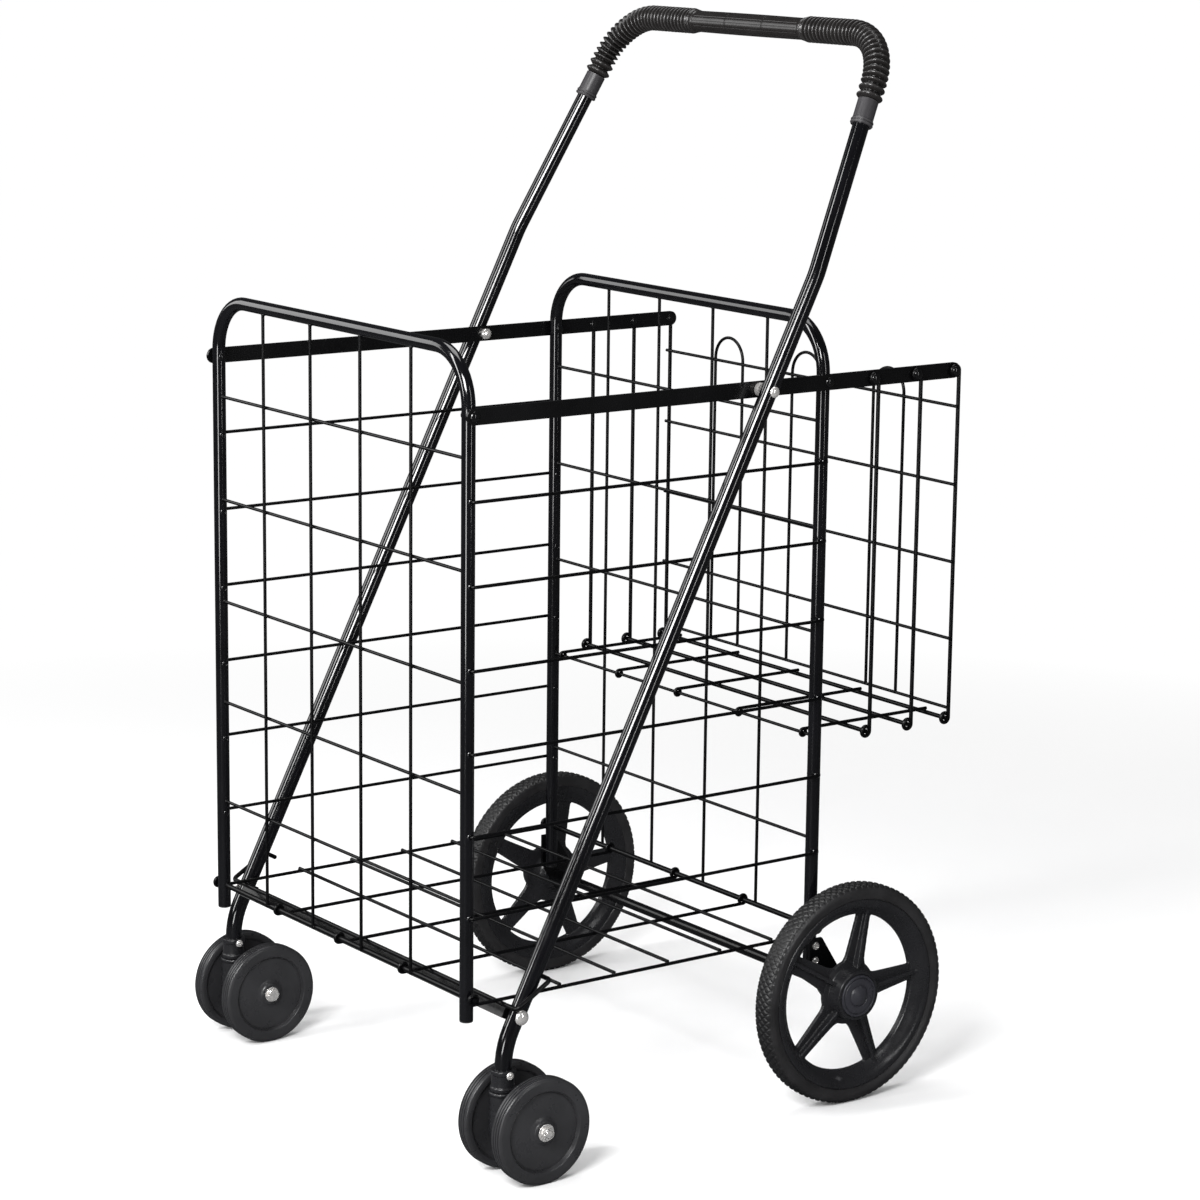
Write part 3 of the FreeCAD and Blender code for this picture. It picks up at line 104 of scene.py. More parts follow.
class Graph:
    """A material's node tree, with short calls for the few nodes used here."""

    def __init__(self, name):
        self.material = bpy.data.materials.new(name)
        self.material.use_nodes = True
        self.nodes = self.material.node_tree.nodes
        self.links = self.material.node_tree.links
        self.surface = self.nodes["Principled BSDF"]
        self.place = self.nodes.new("ShaderNodeTexCoord").outputs["Object"]

    def node(self, kind, inputs=None, **settings):
        made = self.nodes.new(kind)
        for key, value in settings.items():
            setattr(made, key, value)
        for key, value in (inputs or {}).items():
            if isinstance(value, bpy.types.NodeSocket):
                self.links.new(value, made.inputs[key])
            else:
                made.inputs[key].default_value = value
        return made

    def noise(self, scale, detail=4.0, rough=0.55, where=None):
        inputs = {"Vector": where or self.place, "Scale": scale, "Detail": detail, "Roughness": rough}
        return self.node("ShaderNodeTexNoise", inputs).outputs["Fac"]

    def spread(self, value, low, high, to_low, to_high):
        """Maps the range low to high on to another, clamped."""
        inputs = {"Value": value, "From Min": low, "From Max": high, "To Min": to_low, "To Max": to_high}
        return self.node("ShaderNodeMapRange", inputs).outputs["Result"]

    def mix(self, factor, first, second):
        made = self.node("ShaderNodeMix", data_type="RGBA")
        for index, value in ((0, factor), (6, first), (7, second)):
            if isinstance(value, bpy.types.NodeSocket):
                self.links.new(value, made.inputs[index])
            else:
                made.inputs[index].default_value = value if index == 0 else (*value, 1.0)
        return made.outputs[2]

    def pointiness(self):
        return self.node("ShaderNodeNewGeometry").outputs["Pointiness"]

    def math(self, operation, first, second=0.0):
        made = self.node("ShaderNodeMath", {0: first, 1: second}, operation=operation)
        return made.outputs[0]

    def bump(self, height, depth, under=None, strength=1.0):
        inputs = {"Height": height, "Distance": depth, "Strength": strength}
        if under is not None:
            inputs["Normal"] = under
        return self.node("ShaderNodeBump", inputs).outputs["Normal"]

    def set(self, **inputs):
        for key, value in inputs.items():
            socket = self.surface.inputs[key.replace("_", " ")]
            if isinstance(value, bpy.types.NodeSocket):
                self.links.new(value, socket)
            elif isinstance(value, tuple):
                socket.default_value = (*value, 1.0)
            else:
                socket.default_value = value


def edge_wear_and_highlight(graph, low=0.53, high=0.62):
    """How worn a point is, and where edges get a painted highlight: 1 on sharp outer edges, broken up by noise."""
    edges = graph.spread(graph.pointiness(), low, high, 0.0, 1.0)
    broken = graph.spread(graph.noise(160.0, 6.0), 0.35, 0.65, 0.2, 1.0)
    return graph.math("MULTIPLY", edges, broken)


def powder_coat(name, colour, gloss, peel, shine=0.5, coat=0.35):
    """Stoved black paint: an even gloss over a faint orange peel, with pinholes and dust."""
    graph = Graph(name)
    cloud = graph.spread(graph.noise(14.0, 5.0), 0.35, 0.7, 0.0, 1.0)
    tint = graph.mix(cloud, colour, tuple(c * 1.8 for c in colour))
    dust = graph.spread(graph.noise(420.0, 8.0, 0.7), 0.66, 0.82, 0.0, 0.05)
    graph.set(Base_Color=graph.mix(dust, tint, (0.05, 0.048, 0.046)))
    graph.set(Roughness=graph.spread(graph.noise(24.0, 5.0, 0.6), 0.3, 0.75, gloss, gloss + 0.1))
    waves = graph.bump(graph.noise(150.0, 2.0, 0.4), peel)
    graph.set(Normal=graph.bump(graph.noise(900.0, 2.0), peel * 0.06, waves))
    graph.set(Coat_Weight=coat, Coat_Roughness=0.07, IOR=1.5, Specular_IOR_Level=shine)
    return graph.material


def moulded(name, colour, rough, grain):
    """Moulded polymer: satin, with a spark-eroded grain, edges lightened partly by rubbing and partly as a painted
    highlight, and painted shade in the creases.
    """
    graph = Graph(name)
    cloud = graph.spread(graph.noise(22.0, 5.0), 0.3, 0.72, 0.0, 1.0)
    tint = graph.mix(cloud, colour, tuple(c * 1.55 for c in colour))
    wear_and_highlight = edge_wear_and_highlight(graph)
    # Sharp outer edges are lightened: partly worn plastic, partly a painted highlight.
    rubbed_and_highlit = graph.mix(graph.math("MULTIPLY", wear_and_highlight, 0.42), tint, (0.11, 0.11, 0.115))
    # Painted shade: low-pointiness hollows are darkened to near black.
    painted_crease_shade = graph.spread(graph.pointiness(), 0.49, 0.42, 0.0, 0.9)
    graph.set(Base_Color=graph.mix(painted_crease_shade, rubbed_and_highlit, (0.001, 0.001, 0.001)))
    patch = graph.spread(graph.noise(55.0, 6.0, 0.6), 0.3, 0.7, rough - 0.06, rough + 0.07)
    graph.set(Roughness=graph.math("SUBTRACT", patch, graph.math("MULTIPLY", wear_and_highlight, 0.1)))
    graph.set(Normal=graph.bump(graph.noise(1300.0, 3.0, 0.6), grain))
    graph.set(IOR=1.47)
    return graph.material


def rubber(name, colour, tread_from):
    """Tyre rubber: dull, with bloom, scuffs on the raised blocks and dust in the grooves."""
    graph = Graph(name)
    bloom = graph.spread(graph.noise(30.0, 6.0, 0.6), 0.35, 0.7, 0.0, 1.0)
    tint = graph.mix(bloom, colour, tuple(c * 1.7 + 0.002 for c in colour))
    hollow = graph.spread(graph.pointiness(), 0.49, 0.44, 0.0, 1.0)
    speckle = graph.spread(graph.noise(700.0, 8.0, 0.7), 0.45, 0.75, 0.0, 1.0)
    dusty = graph.mix(graph.math("MULTIPLY", hollow, 0.12), tint, (0.03, 0.028, 0.026))
    speckled = graph.mix(graph.math("MULTIPLY", speckle, 0.1), dusty, (0.05, 0.049, 0.047))
    across = graph.node("ShaderNodeVectorMath", {0: graph.place, 1: (0.0, 1.0, 1.0)}, operation="MULTIPLY")
    reach = graph.node("ShaderNodeVectorMath", {0: across.outputs[0]}, operation="LENGTH").outputs["Value"]
    tread = graph.spread(reach, tread_from, tread_from + 0.002, 0.0, 1.0)
    graph.set(Base_Color=graph.mix(graph.math("MULTIPLY", tread, 0.6), speckled, (0.0016, 0.0016, 0.002)))
    rough = graph.spread(graph.noise(90.0, 5.0), 0.3, 0.7, 0.3, 0.38)
    graph.set(Roughness=graph.math("ADD", rough, graph.math("MULTIPLY", tread, 0.14)))
    graph.set(Normal=graph.bump(graph.noise(1100.0, 4.0, 0.65), 0.000004), IOR=1.5)
    return graph.material


def plated(name):
    """Zinc-plated steel: bright, turned fine lines and a faint cloudy passivation."""
    graph = Graph(name)
    cloud = graph.spread(graph.noise(240.0, 5.0), 0.35, 0.68, 0.0, 1.0)
    graph.set(Base_Color=graph.mix(cloud, (0.93, 0.90, 0.87), (0.80, 0.79, 0.78)))
    lines = graph.noise(900.0, 3.0, 0.5)
    graph.set(Roughness=graph.spread(lines, 0.3, 0.7, 0.16, 0.26), Metallic=0.78)
    graph.set(Normal=graph.bump(lines, 0.000004))
    return graph.material


def grip_vinyl(name, colour, rough):
    """Soft vinyl: satin skin with a leathery grain, ridges lightened partly by hand polish and partly as a painted
    highlight, and painted shade in the valleys.
    """
    graph = Graph(name)
    cloud = graph.spread(graph.noise(35.0, 6.0), 0.3, 0.7, 0.0, 1.0)
    tint = graph.mix(cloud, colour, tuple(c * 1.5 for c in colour))
    wear_and_highlight = edge_wear_and_highlight(graph, 0.51, 0.58)
    # Ridge tops are lightened: partly polish from hands, partly a painted highlight.
    polished_and_highlit = graph.mix(graph.math("MULTIPLY", wear_and_highlight, 0.5), tint, (0.085, 0.083, 0.083))
    # Painted shade: the valleys between the ribs are darkened to near black.
    painted_valley_shade = graph.spread(graph.pointiness(), 0.5, 0.45, 0.0, 0.95)
    graph.set(Base_Color=graph.mix(painted_valley_shade, polished_and_highlit, (0.0006, 0.0006, 0.0006)))
    patch = graph.spread(graph.noise(40.0, 4.0), 0.3, 0.7, rough - 0.03, rough + 0.06)
    graph.set(Roughness=graph.math("SUBTRACT", patch, graph.math("MULTIPLY", wear_and_highlight, 0.06)))
    pores = graph.node("ShaderNodeTexVoronoi", {"Vector": graph.place, "Scale": 900.0}).outputs["Distance"]
    graph.set(Normal=graph.bump(pores, 0.0000015), IOR=1.5)
    return graph.material


FINISHES = {
    "tube_black": powder_coat("tube_powder_coat", (0.0016, 0.0016, 0.0021), 0.08, 0.000008),
    "wire_black": powder_coat("wire_powder_coat", (0.0010, 0.0010, 0.0012), 0.24, 0.00001, 0.22, 0.0),
    "bar_black": powder_coat("bar_powder_coat", (0.0014, 0.0014, 0.0016), 0.2, 0.000015, 0.35, 0.1),
    "rivet_black": powder_coat("rivet_powder_coat", (0.0018, 0.0018, 0.002), 0.12, 0.00001),
    "zinc": plated("zinc_plate"),
    "grip_black": grip_vinyl("grip_vinyl", (0.0082, 0.0074, 0.0072), 0.24),
    "plastic_black": moulded("moulded_nylon", (0.0078, 0.0078, 0.0088), 0.27, 0.000003),
    "tyre_black": rubber("tyre_rubber", (0.0095, 0.0092, 0.0098), 0.1055),
    "plug_black": moulded("plug_polythene", (0.004, 0.004, 0.0045), 0.4, 0.000004),
}


# ---------- mesh building ----------

def rounded(corners, steps=4, closed=False):
    """Points along an outline. Each corner is (u, v) or (u, v, fillet), and fillets become curves."""
    count = len(corners)
    points = []
    for index, corner in enumerate(corners):
        here = Vector(corner[:2])
        fillet = corner[2] if len(corner) > 2 else 0.0
        inside = closed or 0 < index < count - 1
        if not fillet or not inside:
            points.append(here)
            continue
        before = Vector(corners[index - 1][:2])
        after = Vector(corners[(index + 1) % count][:2])
        first = here + (before - here).normalized() * min(fillet, (before - here).length * 0.49)
        last = here + (after - here).normalized() * min(fillet, (after - here).length * 0.49)
        for step in range(steps + 1):
            t = step / steps
            points.append(first * (1 - t) ** 2 + here * 2 * t * (1 - t) + last * t ** 2)
    return points


def grid(rows, wrap_rows=False):
    """Faces over rows of points; each row is a closed ring."""
    vertices = [point for row in rows for point in row]
    width = len(rows[0])
    faces = []
    for r in range(len(rows) if wrap_rows else len(rows) - 1):
        below = r * width
        above = ((r + 1) % len(rows)) * width
        for c in range(width):
            d = (c + 1) % width
            faces.append((below + c, below + d, above + d, above + c))
    return vertices, faces


def turned(corners, around=96, steps=4, closed=False):
    """A shape turned about its own X axis from an outline of (along, radius, fillet)."""
    rows = []
    for along, radius in rounded(corners, steps, closed):
        rows.append([Vector((along, radius * math.sin(a), radius * math.cos(a))) for a in angles(around)])
    return grid(rows, closed)


def swept(path, radii, around=32):
    """A round sleeve along a path, with its own radius at every point."""
    rows = []
    previous = (path[-1] - path[0]).orthogonal()
    for index, centre in enumerate(path):
        ahead = path[min(index + 1, len(path) - 1)] - path[max(index - 1, 0)]
        ahead.normalize()
        side = (previous - ahead * previous.dot(ahead)).normalized()
        up = ahead.cross(side)
        previous = side
        radius = radii[index]
        row = []
        for a in angles(around):
            reach = radius(a) if callable(radius) else radius
            row.append(centre + (side * math.cos(a) + up * math.sin(a)) * reach)
        rows.append(row)
    return grid(rows)


def moved(part, matrix):
    return [matrix @ Vector(v) for v in part[0]], part[1]


def joined(*parts):
    vertices, faces = [], []
    for points, polygons in parts:
        base = len(vertices)
        vertices += points
        faces += [tuple(base + i for i in polygon) for polygon in polygons]
    return vertices, faces


def mesh_of(name, part, sharp=38.0):
    """A clean mesh in metres from a part in millimetres."""
    shape = bmesh.new()
    vertices = [shape.verts.new(Vector(v) * MM) for v in part[0]]
    for polygon in part[1]:
        corners = [vertices[i] for i in dict.fromkeys(polygon)]
        if len(corners) > 2:
            shape.faces.new(corners)
    bmesh.ops.remove_doubles(shape, verts=shape.verts, dist=1e-7)
    bmesh.ops.recalc_face_normals(shape, faces=shape.faces)
    mesh = bpy.data.meshes.new(name)
    shape.to_mesh(mesh)
    shape.free()
    mesh.shade_smooth()
    mesh.set_sharp_from_angle(angle=math.radians(sharp))
    return mesh


def fused(mesh, voxel, rounds=2):
    """Joins a mesh's overlapping solids into one skin with small fillets."""
    holder = bpy.data.objects.new("fusing", mesh)
    bpy.context.scene.collection.objects.link(holder)
    remesh = holder.modifiers.new("skin", "REMESH")
    remesh.mode = "VOXEL"
    remesh.voxel_size = voxel * MM
    soften = holder.modifiers.new("soften", "SMOOTH")
    soften.factor = 0.5
    soften.iterations = rounds
    settled = holder.evaluated_get(bpy.context.evaluated_depsgraph_get())
    skin = bpy.data.meshes.new_from_object(settled)
    bpy.data.objects.remove(holder)
    skin.shade_smooth()
    return skin


def piece(name, mesh, body, slot, place=None, stands_for=()):
    """Puts a mesh in the scene as a piece that rides on a body."""
    made = bpy.data.objects.new(name, mesh)
    bpy.context.scene.collection.objects.link(made)
    made.matrix_world = place or Matrix.Identity(4)
    if not mesh.materials:
        mesh.materials.append(FINISHES[slot])
    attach(made, body)
    if stands_for:
        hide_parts(*stands_for)
    return made


def assembly(name, parts, sharp, body, slot, stands_for=()):
    """One piece made of several parts."""
    return piece(name, mesh_of(name, joined(*parts), sharp), body, slot, None, stands_for)


def facing(side, x, y, z):
    """A place at (side * x, y, z), in metres, whose +X points away from the trolley's middle."""
    return Matrix.Translation((side * x, y, z)) @ half_turn(side)


def shift(x=0.0, y=0.0, z=0.0):
    return Matrix.Translation((x, y, z))


# ---------- carried-over CAD nodes ----------

def finish_cad_nodes():
    """Gives every CAD node the finish of its material slot, and smooth shading."""
    for subpart in frame["record"]["subparts"]:
        mesh = frame["nodes"][subpart["node"]].data
        mesh.materials.clear()
        mesh.materials.append(FINISHES[subpart["material_slot"]])
        mesh.shade_smooth()
        mesh.set_sharp_from_angle(angle=math.radians(35))
        if subpart["material_slot"] == "wire_black":
            film = frame["nodes"][subpart["node"]].modifiers.new("paint_film", "DISPLACE")
            film.strength = THIN_FILM if subpart["node"].startswith("side_wire") else PAINT_FILM
            film.mid_level = 0.0


# ---------- handle grips ----------

PIVOT = Vector(JOINTS["handle_pivot"]["pos_m"]) / MM
LEAN = math.radians(26.8)
TAPER = math.radians(8.3)
HANDLE_HALF = 242.0
HANDLE_RADIUS = 8.0
KINK_RUN = 117.0
TOP_RUN = 357.5
TOP_BEND = 57.0
CORNER_X = HANDLE_HALF - math.tan(TAPER) * (TOP_RUN - KINK_RUN)
CENTRE_GRIP_HALF = 88.0
GRIP_LOW_RUN = 266.0


def on_handle(across, run):
    """A point in the handle's leaning plane, in millimetres."""
    return Vector((across, PIVOT.y + run * math.sin(LEAN), PIVOT.z + run * math.cos(LEAN)))


def corner_path(side, spacing):
    """The grip's centre line from beside the centre sleeve, round the corner and down the leg."""
    turn = math.pi / 2 - TAPER
    setback = TOP_BEND * math.tan(turn / 2)
    straight = CORNER_X - setback - CENTRE_GRIP_HALF
    arc = TOP_BEND * turn
    leg_direction = Vector((math.sin(TAPER), -math.cos(TAPER)))
    bend_centre = Vector((CORNER_X - setback, TOP_RUN - TOP_BEND))
    leg_start = Vector((CORNER_X, TOP_RUN)) + leg_direction * setback
    leg = (leg_start.y - GRIP_LOW_RUN) / math.cos(TAPER)
    total = straight + arc + leg
    count = int(total / spacing)
    points, lengths = [], []
    for k in range(count + 1):
        s = total * k / count
        if s < straight:
            flat = Vector((CENTRE_GRIP_HALF + s, TOP_RUN))
        elif s < straight + arc:
            a = (s - straight) / TOP_BEND
            flat = bend_centre + Vector((math.sin(a), math.cos(a))) * TOP_BEND
        else:
            flat = leg_start + leg_direction * (s - straight - arc)
        points.append(on_handle(side * flat.x, flat.y))
        lengths.append(s)
    return points, lengths, total


RIB_PITCH = 5.6
RIB_OUTER = 12.7
RIB_INNER = 9.0
CUFF_LENGTH = 25.0
CUFF_RADIUS = 9.9
WIDE_RIBS = 2
WIDE_PITCH = 8.0


def corrugation(s, total):
    """The sleeve's outer radius at a distance along it: collar, ribs, two fat ribs and a plain cuff."""
    left = total - s
    end_ring = 5.5
    if s < 3.0:
        return 11.6 - 0.5 * math.cos(math.pi * s / 1.5)
    if left < end_ring:
        return CUFF_RADIUS + 0.75 + 0.35 * math.cos(2 * math.pi * left / 2.75 + math.pi)
    if left < CUFF_LENGTH:
        return CUFF_RADIUS
    wide_end = CUFF_LENGTH + WIDE_RIBS * WIDE_PITCH
    if left < wide_end:
        wave = math.cos(2 * math.pi * (left - CUFF_LENGTH) / WIDE_PITCH)
        return RIB_INNER - 0.3 + (RIB_OUTER + 0.3 - RIB_INNER) * (0.5 - 0.5 * wave) ** 0.75
    wave = math.cos(2 * math.pi * (left - wide_end) / RIB_PITCH)
    return RIB_INNER + (RIB_OUTER - RIB_INNER) * (0.5 - 0.5 * wave) ** 0.9


def corner_grips():
    """Each bend's ribbed sleeve, and the plain cuff that closes it on the leg."""
    sleeves, cuffs = [], []
    for side in SIDES.values():
        path, lengths, total = corner_path(side, 0.42)
        radii = [corrugation(s, total) for s in lengths]
        split = sum(1 for s in lengths if total - s >= CUFF_LENGTH)
        for parts, stretch in ((sleeves, slice(0, split + 1)), (cuffs, slice(split, len(path)))):
            centres = path[stretch]
            first = centres[0] - (centres[1] - centres[0]) * 0.05
            last = centres[-1] + (centres[-1] - centres[-2]) * 0.05
            reach = [HANDLE_RADIUS - 0.1] + radii[stretch] + [HANDLE_RADIUS - 0.1]
            parts.append(swept([first] + centres + [last], reach, 40))
    assembly("grip_corner_sleeves", sleeves, 60.0, "handle", "grip_black", ("grip_bends",))
    cuff = mesh_of("grip_cuffs", joined(*cuffs), 40.0)
    cuff.materials.append(grip_vinyl("cuff_vinyl", (0.019, 0.018, 0.020), 0.4))
    piece("grip_cuffs", cuff, "handle", "grip_black")


FLUTES = 14


def centre_grip():
    """The straight middle sleeve: shallow lengthwise flutes, seam rings and flared ends."""
    half = CENTRE_GRIP_HALF - 0.3
    count = 260
    spans = [-half + 2 * half * k / count for k in range(count + 1)]

    def outline(x):
        near_end = half - abs(x)
        seam = min(abs(abs(x) - half / 3), 1.0)
        swell = 10.5 + 0.35 * math.cos(math.pi * x / half / 2)
        if near_end < 4.5:
            swell += 0.75 * math.sin(math.pi * min(near_end / 4.5, 1.0))
        dip = 0.35 * (1.0 - seam)
        depth = 0.3 if near_end > 5.5 else 0.0

        def radius(angle):
            flute = max(0.0, math.cos(FLUTES * angle)) ** 6
            return swell - dip - depth * flute
        return radius

    path = [on_handle(x, TOP_RUN) for x in spans]
    ends = [HANDLE_RADIUS - 0.1]
    radii = ends + [outline(x) for x in spans] + ends
    sleeve = swept([path[0]] + path + [path[-1]], radii, 168)
    assembly("grip_centre_sleeve", [sleeve], 60.0, "handle", "grip_black", ("grip_centre",))


# ---------- rear wheels ----------

TYRE_LOW, TYRE_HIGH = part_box("rear_tyre_left")
TYRE_RADIUS = (TYRE_HIGH.z - TYRE_LOW.z) / 2 / MM
TYRE_WIDTH = (TYRE_HIGH.x - TYRE_LOW.x) / MM
TREAD_PITCH = 7.6
STEPS_PER_PITCH = 18
TREAD_CELL = 0.42
TREAD_DEPTH = 0.75
GROOVE = 1.05
BEAD_RADIUS = 94.5


def groove_depth(across, along):
    """How deep the tread is cut at a point: crossing diagonal grooves and short shoulder cuts."""
    from_middle = abs(across - TYRE_WIDTH / 2)
    deepest = 0.0
    for slant in (-1, 1):
        phase = (along + slant * across * 0.9) % TREAD_PITCH
        gap = min(phase, TREAD_PITCH - phase) * 0.74
        deepest = max(deepest, min(1.0, max(0.0, (GROOVE - gap) / 0.45)))
    fade = min(1.0, max(0.0, (TYRE_WIDTH / 2 - 0.4 - from_middle) / 1.2))
    return deepest * fade * TREAD_DEPTH


def tyre_part():
    """The tyre: a convex sidewall each side and a crown cut with the tread's grooves."""
    width = TYRE_WIDTH
    outline = rounded([
        (2.2, BEAD_RADIUS + 0.5), (0.6, BEAD_RADIUS + 1.5, 1.2), (0.0, TYRE_RADIUS - 8.5, 4.0),
        (0.2, TYRE_RADIUS - 3.4, 2.4), (2.6, TYRE_RADIUS - 0.8, 1.6), (7.0, TYRE_RADIUS, 2.0),
        (width - 7.0, TYRE_RADIUS, 2.0), (width - 3.0, TYRE_RADIUS - 0.9, 2.0),
        (width - 0.7, TYRE_RADIUS - 4.0, 4.5), (width + 0.6, TYRE_RADIUS - 8.0, 7.0),
        (width - 1.4, BEAD_RADIUS + 1.4, 2.0), (width - 1.8, BEAD_RADIUS + 0.2, 0.4),
        (width - 3.4, BEAD_RADIUS + 0.2),
    ], 5)
    fine = [outline[0]]
    for point in outline[1:]:
        start = fine[-1]
        cells = max(1, int((point - start).length / TREAD_CELL)) if point.y > TYRE_RADIUS - 4.5 else 1
        fine += [start.lerp(point, (k + 1) / cells) for k in range(cells)]
    pitch_count = int(2 * math.pi * TYRE_RADIUS / TREAD_PITCH)
    around = pitch_count * STEPS_PER_PITCH
    rows = []
    for across, radius in fine:
        row = []
        treaded = radius > TYRE_RADIUS - 3.2
        for k in range(around):
            angle = 2 * math.pi * k / around
            along = k / around * pitch_count * TREAD_PITCH
            reach = radius - (groove_depth(across, along) if treaded else 0.0)
            row.append((across, reach * math.sin(angle), reach * math.cos(angle)))
        rows.append(row)
    return grid(rows)


SPOKES = 5
WINDOW_INNER = 29.0
WINDOW_OUTER = 78.5
WEB_LOW = 7.5
WEB_HIGH = 11.5


def spoke_half_width(radius):
    """Half a spoke's width at a radius: broad at the hub, slimmest just before the rim."""
    t = (radius - WINDOW_INNER) / (WINDOW_OUTER - WINDOW_INNER)
    return 12.6 - 4.6 * t ** 0.75


def window_outline(index):
    """The closed outline of one opening between two spokes."""
    sector = 2 * math.pi / SPOKES
    centre = sector * (index + 0.5)
    rising = []
    for radius in (34.0, 42.0, 52.0, 62.0, 71.0):
        turn = sector / 2 - math.asin(spoke_half_width(radius) / radius)
        rising.append((radius, turn))
    shape = [(WINDOW_INNER + 0.5, 0.0, 8.0)]
    shape += [(r, -t, 6.0 if r < 36 else 0.0) for r, t in rising]
    corner = sector / 2 - math.asin(spoke_half_width(WINDOW_OUTER) / WINDOW_OUTER)
    shape.append((WINDOW_OUTER, -corner, 6.5))
    arc = 12
    shape += [(WINDOW_OUTER, corner * (2 * k / arc - 1), 0.0) for k in range(1, arc)]
    shape.append((WINDOW_OUTER, corner, 6.5))
    shape += [(r, t, 6.0 if r < 36 else 0.0) for r, t in reversed(rising)]
    flat = [(r * math.sin(centre + t), r * math.cos(centre + t), f) for r, t, f in shape]
    return rounded(flat, 6, closed=True)


def plate_with_windows(inner, outer, low, high):
    """A flat ring between two radii with the spoke openings cut through it."""
    shape = bmesh.new()

    def loop(points):
        ring = [shape.verts.new((low, p[0], p[1])) for p in points]
        for a, b in zip(ring, ring[1:] + ring[:1]):
            shape.edges.new((a, b))

    for radius in (inner, outer):
        loop([(radius * math.sin(a), radius * math.cos(a)) for a in angles(120)])
    for index in range(SPOKES):
        loop(window_outline(index))
    bmesh.ops.triangle_fill(shape, edges=shape.edges, use_beauty=True)
    lifted = bmesh.ops.extrude_face_region(shape, geom=shape.faces[:])
    tops = [item for item in lifted["geom"] if isinstance(item, bmesh.types.BMVert)]
    bmesh.ops.translate(shape, verts=tops, vec=(high - low, 0, 0))
    shape.verts.index_update()
    part = ([v.co.copy() for v in shape.verts], [tuple(v.index for v in f.verts) for f in shape.faces])
    shape.free()
    return part


def box_part(sections):
    """A closed bar lofted through rectangular sections of (radius, half width, low, high)."""
    rows = []
    for radius, half, low, high in sections:
        rows.append([Vector((low, -half, radius)), Vector((low, half, radius)),
                     Vector((high, half, radius)), Vector((high, -half, radius))])
    vertices, faces = grid(rows)
    last = len(vertices)
    return vertices, faces + [(3, 2, 1, 0), (last - 4, last - 3, last - 2, last - 1)]


HUB_RADIUS = 24.6
HUB_FACE = 26.4
SPOKE_LEAN = math.radians(12.8)


def inset(part, depth):
    """The same closed part with its skin drawn in by a depth."""
    shape = bmesh.new()
    vertices = [shape.verts.new(v) for v in part[0]]
    for polygon in part[1]:
        shape.faces.new([vertices[i] for i in polygon])
    bmesh.ops.recalc_face_normals(shape, faces=shape.faces)
    shape.normal_update()
    drawn = [v.co - v.normal * depth for v in vertices]
    shape.free()
    return drawn, part[1]


def rim_mesh():
    """The rim: a dished ring, a drum hub and ribbed spokes. Fillets come from the fused skin."""
    ring = turned([
        (TYRE_WIDTH - 1.5, BEAD_RADIUS, 0.5), (TYRE_WIDTH - 0.9, BEAD_RADIUS - 1.0, 0.8),
        (TYRE_WIDTH - 1.9, BEAD_RADIUS - 6.5, 5.0), (14.6, WINDOW_OUTER + 2.4, 5.0),
        (12.6, WINDOW_OUTER - 0.5, 1.2), (6.2, WINDOW_OUTER - 0.5, 1.2), (5.0, 83.0, 2.0),
        (1.4, 90.0, 3.0), (1.2, BEAD_RADIUS + 1.5, 0.8),
    ], 160, 5, closed=True)
    hub = turned([
        (-2.6, 6.0), (-2.6, 14.0, 1.2), (3.0, 17.5, 2.0), (WEB_LOW, 24.0, 2.0), (WEB_LOW, 32.0, 1.0),
        (WEB_HIGH, 32.0, 1.0), (WEB_HIGH + 0.8, HUB_RADIUS + 1.4, 1.2), (HUB_FACE, HUB_RADIUS, 1.3),
        (HUB_FACE, 21.2, 0.5), (HUB_FACE - 1.8, 21.0, 0.4), (HUB_FACE - 1.8, 6.0),
    ], 120, 5, closed=True)
    web = plate_with_windows(15.0, 84.0, WEB_LOW, WEB_HIGH)
    rib = box_part([
        (20.0, 2.0, WEB_LOW + 1, 19.5), (34.0, 1.9, WEB_LOW + 1, 18.6), (60.0, 1.7, WEB_LOW + 1, 16.8),
        (80.0, 1.8, WEB_LOW + 1, 16.2), (85.5, 2.0, WEB_LOW + 1, 17.6),
    ])
    ribs = [moved(rib, Matrix.Rotation(-2 * math.pi * k / SPOKES, 4, "X")) for k in range(SPOKES)]
    skin = fused(mesh_of("rim_solids", joined(inset(ring, 0.55), inset(hub, 0.55), web, *ribs)), 0.62, 2)
    filleted = bmesh.new()
    filleted.from_mesh(skin)
    filleted.from_mesh(mesh_of("rim_ring_and_hub", joined(ring, hub), 30.0))
    filleted.to_mesh(skin)
    filleted.free()
    return skin


def cap_part():
    """The hub cap: a flat disc inside a fine groove, a ring, and a shallow cone in the middle."""
    return turned([
        (HUB_FACE - 2.6, 20.7), (HUB_FACE + 0.7, 20.7, 0.6), (HUB_FACE + 1.1, 19.9, 0.4),
        (HUB_FACE + 1.1, 18.7, 0.2), (HUB_FACE - 0.1, 18.3, 0.2), (HUB_FACE - 0.1, 17.5, 0.2),
        (HUB_FACE + 0.9, 17.0, 0.3),
        (HUB_FACE + 0.9, 11.3, 0.3), (HUB_FACE + 0.1, 10.9, 0.2), (HUB_FACE + 0.1, 10.0, 0.3),
        (HUB_FACE + 1.9, 8.6, 0.8), (HUB_FACE + 3.6, 2.6, 2.0), (HUB_FACE + 3.9, 0.0),
    ], 128, 5)


